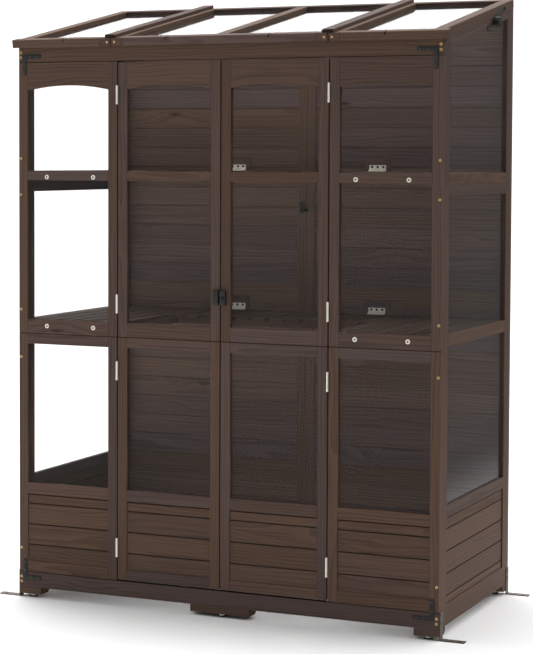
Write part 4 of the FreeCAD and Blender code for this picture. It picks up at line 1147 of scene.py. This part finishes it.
@dataclass
class Studio:
    """A pale floor, soft light mainly from behind, and the camera at the photograph's angle."""

    # The floor is grey far to the right, outside the photograph's view, so that the side panes mirror less
    # of it.
    # The grey is painted shade, as if the light fell off far to the right.
    floor_size: float = 400.0
    floor_tone: str = "#f6f6f6"
    far_painted_shade: str = "#646464"
    far_from: float = 1.0
    far_full: float = 1.8
    mottle_per_m: float = 3.0
    floor_smooth: float = 0.7
    floor_dull: float = 0.9
    # The room's light: strongest at the back, weaker at the front and near the horizon.
    bright_way: Triple = (0.0, 0.99, 0.10)
    bright_turn: float = 0.45
    front_power: float = 0.47
    back_power: float = 2.3
    rise_from: float = 0.05
    rise_full: float = 0.4
    horizon_share: float = 0.55
    # A low grey wall at the back right, which the side panes mirror.
    wall_way: Triple = (0.4, 0.9165, 0.0)
    wall_from: float = 0.86
    wall_full: float = 0.95
    wall_low: float = 0.2
    wall_top: float = 0.5
    wall_share: float = 0.12
    lamp_from: Vector = field(default_factory=lambda: Vector((-1.2, 0.9, 8.0)))
    lamp_size: float = 3.0
    lamp_power: float = 320.0
    focal_px: float = 1937.0
    frame_px: tuple[int, int] = (533, 654)
    axis_row_px: float = 250.0
    sensor_mm: float = 36.0
    yaw: float = math.radians(23.64)
    pitch: float = math.radians(-2.68)
    roll: float = math.radians(0.24)
    eye: Vector = field(default_factory=lambda: Vector((2.549, -5.820, 1.440)))
    middle: Vector = field(default_factory=lambda: Vector((0.0, 0.0, 1.0)))

    def floor(self) -> None:
        """Lay a large pale floor with painted shade far to the right."""
        bm = bmesh.new()
        bmesh.ops.create_grid(bm, x_segments=1, y_segments=1, size=self.floor_size / 2)
        mesh = close_mesh(bm, "floor")
        floor = bpy.data.objects.new("floor", mesh)
        bpy.context.scene.collection.objects.link(floor)
        material = empty_material("white_floor")
        tree = material.node_tree
        place = add_node(tree, "ShaderNodeTexCoord", {}).outputs["Object"]
        mottle = add_node(
            tree, "ShaderNodeTexNoise", {"Vector": place, "Scale": self.mottle_per_m}
        ).outputs[0]
        roughness = add_node(
            tree, "ShaderNodeMapRange", {0: mottle, 3: self.floor_smooth, 4: self.floor_dull}
        ).outputs[0]
        parts = add_node(tree, "ShaderNodeSeparateXYZ", {0: place}).outputs
        far = add_node(
            tree, "ShaderNodeMapRange", {0: parts["X"], 1: self.far_from, 2: self.far_full},
            interpolation_type="SMOOTHSTEP",
        ).outputs[0]
        tone = add_node(
            tree, "ShaderNodeMix", {0: far, 6: linear(self.floor_tone), 7: linear(self.far_painted_shade)},
            data_type="RGBA",
        ).outputs[2]
        close_material(material, {"Base Color": tone, "Roughness": roughness, "Specular IOR Level": 0.0})
        mesh.materials.append(material)

    def room(self) -> None:
        """Light the room mainly from the back, with a darker front and a low grey wall at the back right."""
        world = bpy.data.worlds.new("studio")
        bpy.context.scene.world = world
        world.use_nodes = True
        tree = world.node_tree
        tree.nodes.clear()
        way = add_node(tree, "ShaderNodeTexCoord", {}).outputs["Generated"]
        height = add_node(tree, "ShaderNodeSeparateXYZ", {0: way}).outputs["Z"]
        toward, wallward = (
            add_node(tree, "ShaderNodeVectorMath", {0: way, 1: aim}, operation="DOT_PRODUCT").outputs["Value"]
            for aim in (self.bright_way, self.wall_way)
        )
        power, rising, wall, low = (
            add_node(
                tree, "ShaderNodeMapRange", dict(enumerate(ramp)), interpolation_type="SMOOTHSTEP"
            ).outputs[0]
            for ramp in (
                (toward, -self.bright_turn, self.bright_turn, self.front_power, self.back_power),
                (height, self.rise_from, self.rise_full, self.horizon_share, 1.0),
                (wallward, self.wall_from, self.wall_full, 0.0, 1.0),
                (height, self.wall_low, self.wall_top, 1.0, 0.0),
            )
        )
        risen = add_node(tree, "ShaderNodeMath", {0: power, 1: rising}, operation="MULTIPLY").outputs[0]
        shaded = add_node(tree, "ShaderNodeMath", {0: wall, 1: low}, operation="MULTIPLY").outputs[0]
        open_share = add_node(
            tree, "ShaderNodeMapRange", {0: shaded, 3: 1.0, 4: self.wall_share}
        ).outputs[0]
        total = add_node(tree, "ShaderNodeMath", {0: risen, 1: open_share}, operation="MULTIPLY").outputs[0]
        light = add_node(tree, "ShaderNodeBackground", {"Color": (1.0, 1.0, 1.0, 1.0), "Strength": total})
        add_node(tree, "ShaderNodeOutputWorld", {"Surface": light.outputs[0]})

    def lamp(self) -> None:
        """Hang one large soft light high above, a little to the left and the back."""
        data = bpy.data.lights.new("softbox", "AREA")
        data.size = self.lamp_size
        data.energy = self.lamp_power
        lamp = bpy.data.objects.new("softbox", data)
        lamp.location = self.lamp_from
        lamp.rotation_mode = "QUATERNION"
        lamp.rotation_quaternion = (self.middle - self.lamp_from).to_track_quat("-Z", "Y")
        bpy.context.scene.collection.objects.link(lamp)

    def camera(self) -> None:
        """Set the camera where the photograph was taken from."""
        flat = math.cos(self.pitch)
        ahead = Vector((-math.sin(self.yaw) * flat, math.cos(self.yaw) * flat, math.sin(self.pitch)))
        level = Vector((math.cos(self.yaw), math.sin(self.yaw), 0.0))
        above = level.cross(ahead)
        right = math.cos(self.roll) * level + math.sin(self.roll) * above
        up = math.cos(self.roll) * above - math.sin(self.roll) * level
        data = bpy.data.cameras.new("camera")
        camera = bpy.data.objects.new("camera", data)
        data.sensor_width = self.sensor_mm
        data.lens = self.focal_px / max(self.frame_px) * data.sensor_width
        data.shift_y = (self.axis_row_px - self.frame_px[1] / 2) / max(self.frame_px)
        turn = Matrix((right, up, -ahead)).transposed().to_4x4()
        camera.matrix_world = Matrix.Translation(self.eye) @ turn
        bpy.context.scene.collection.objects.link(camera)
        bpy.context.scene.camera = camera

    def build(self) -> None:
        """Set up the whole studio."""
        self.floor()
        self.room()
        self.lamp()
        self.camera()
        view = bpy.context.scene.view_settings
        view.view_transform = "Standard"
        view.look = "None"


def main() -> None:
    """Build the greenhouse's parts in order, dress them and set up the studio."""
    logging.basicConfig(level=logging.INFO, format="%(name)s: %(message)s")
    for part in (Ground(), FrontWall(), Doors(), Walls(), Shelves(), Roof()):
        part.build()
        part.dress()
    Studio().build()


if __name__ == "__main__":
    main()
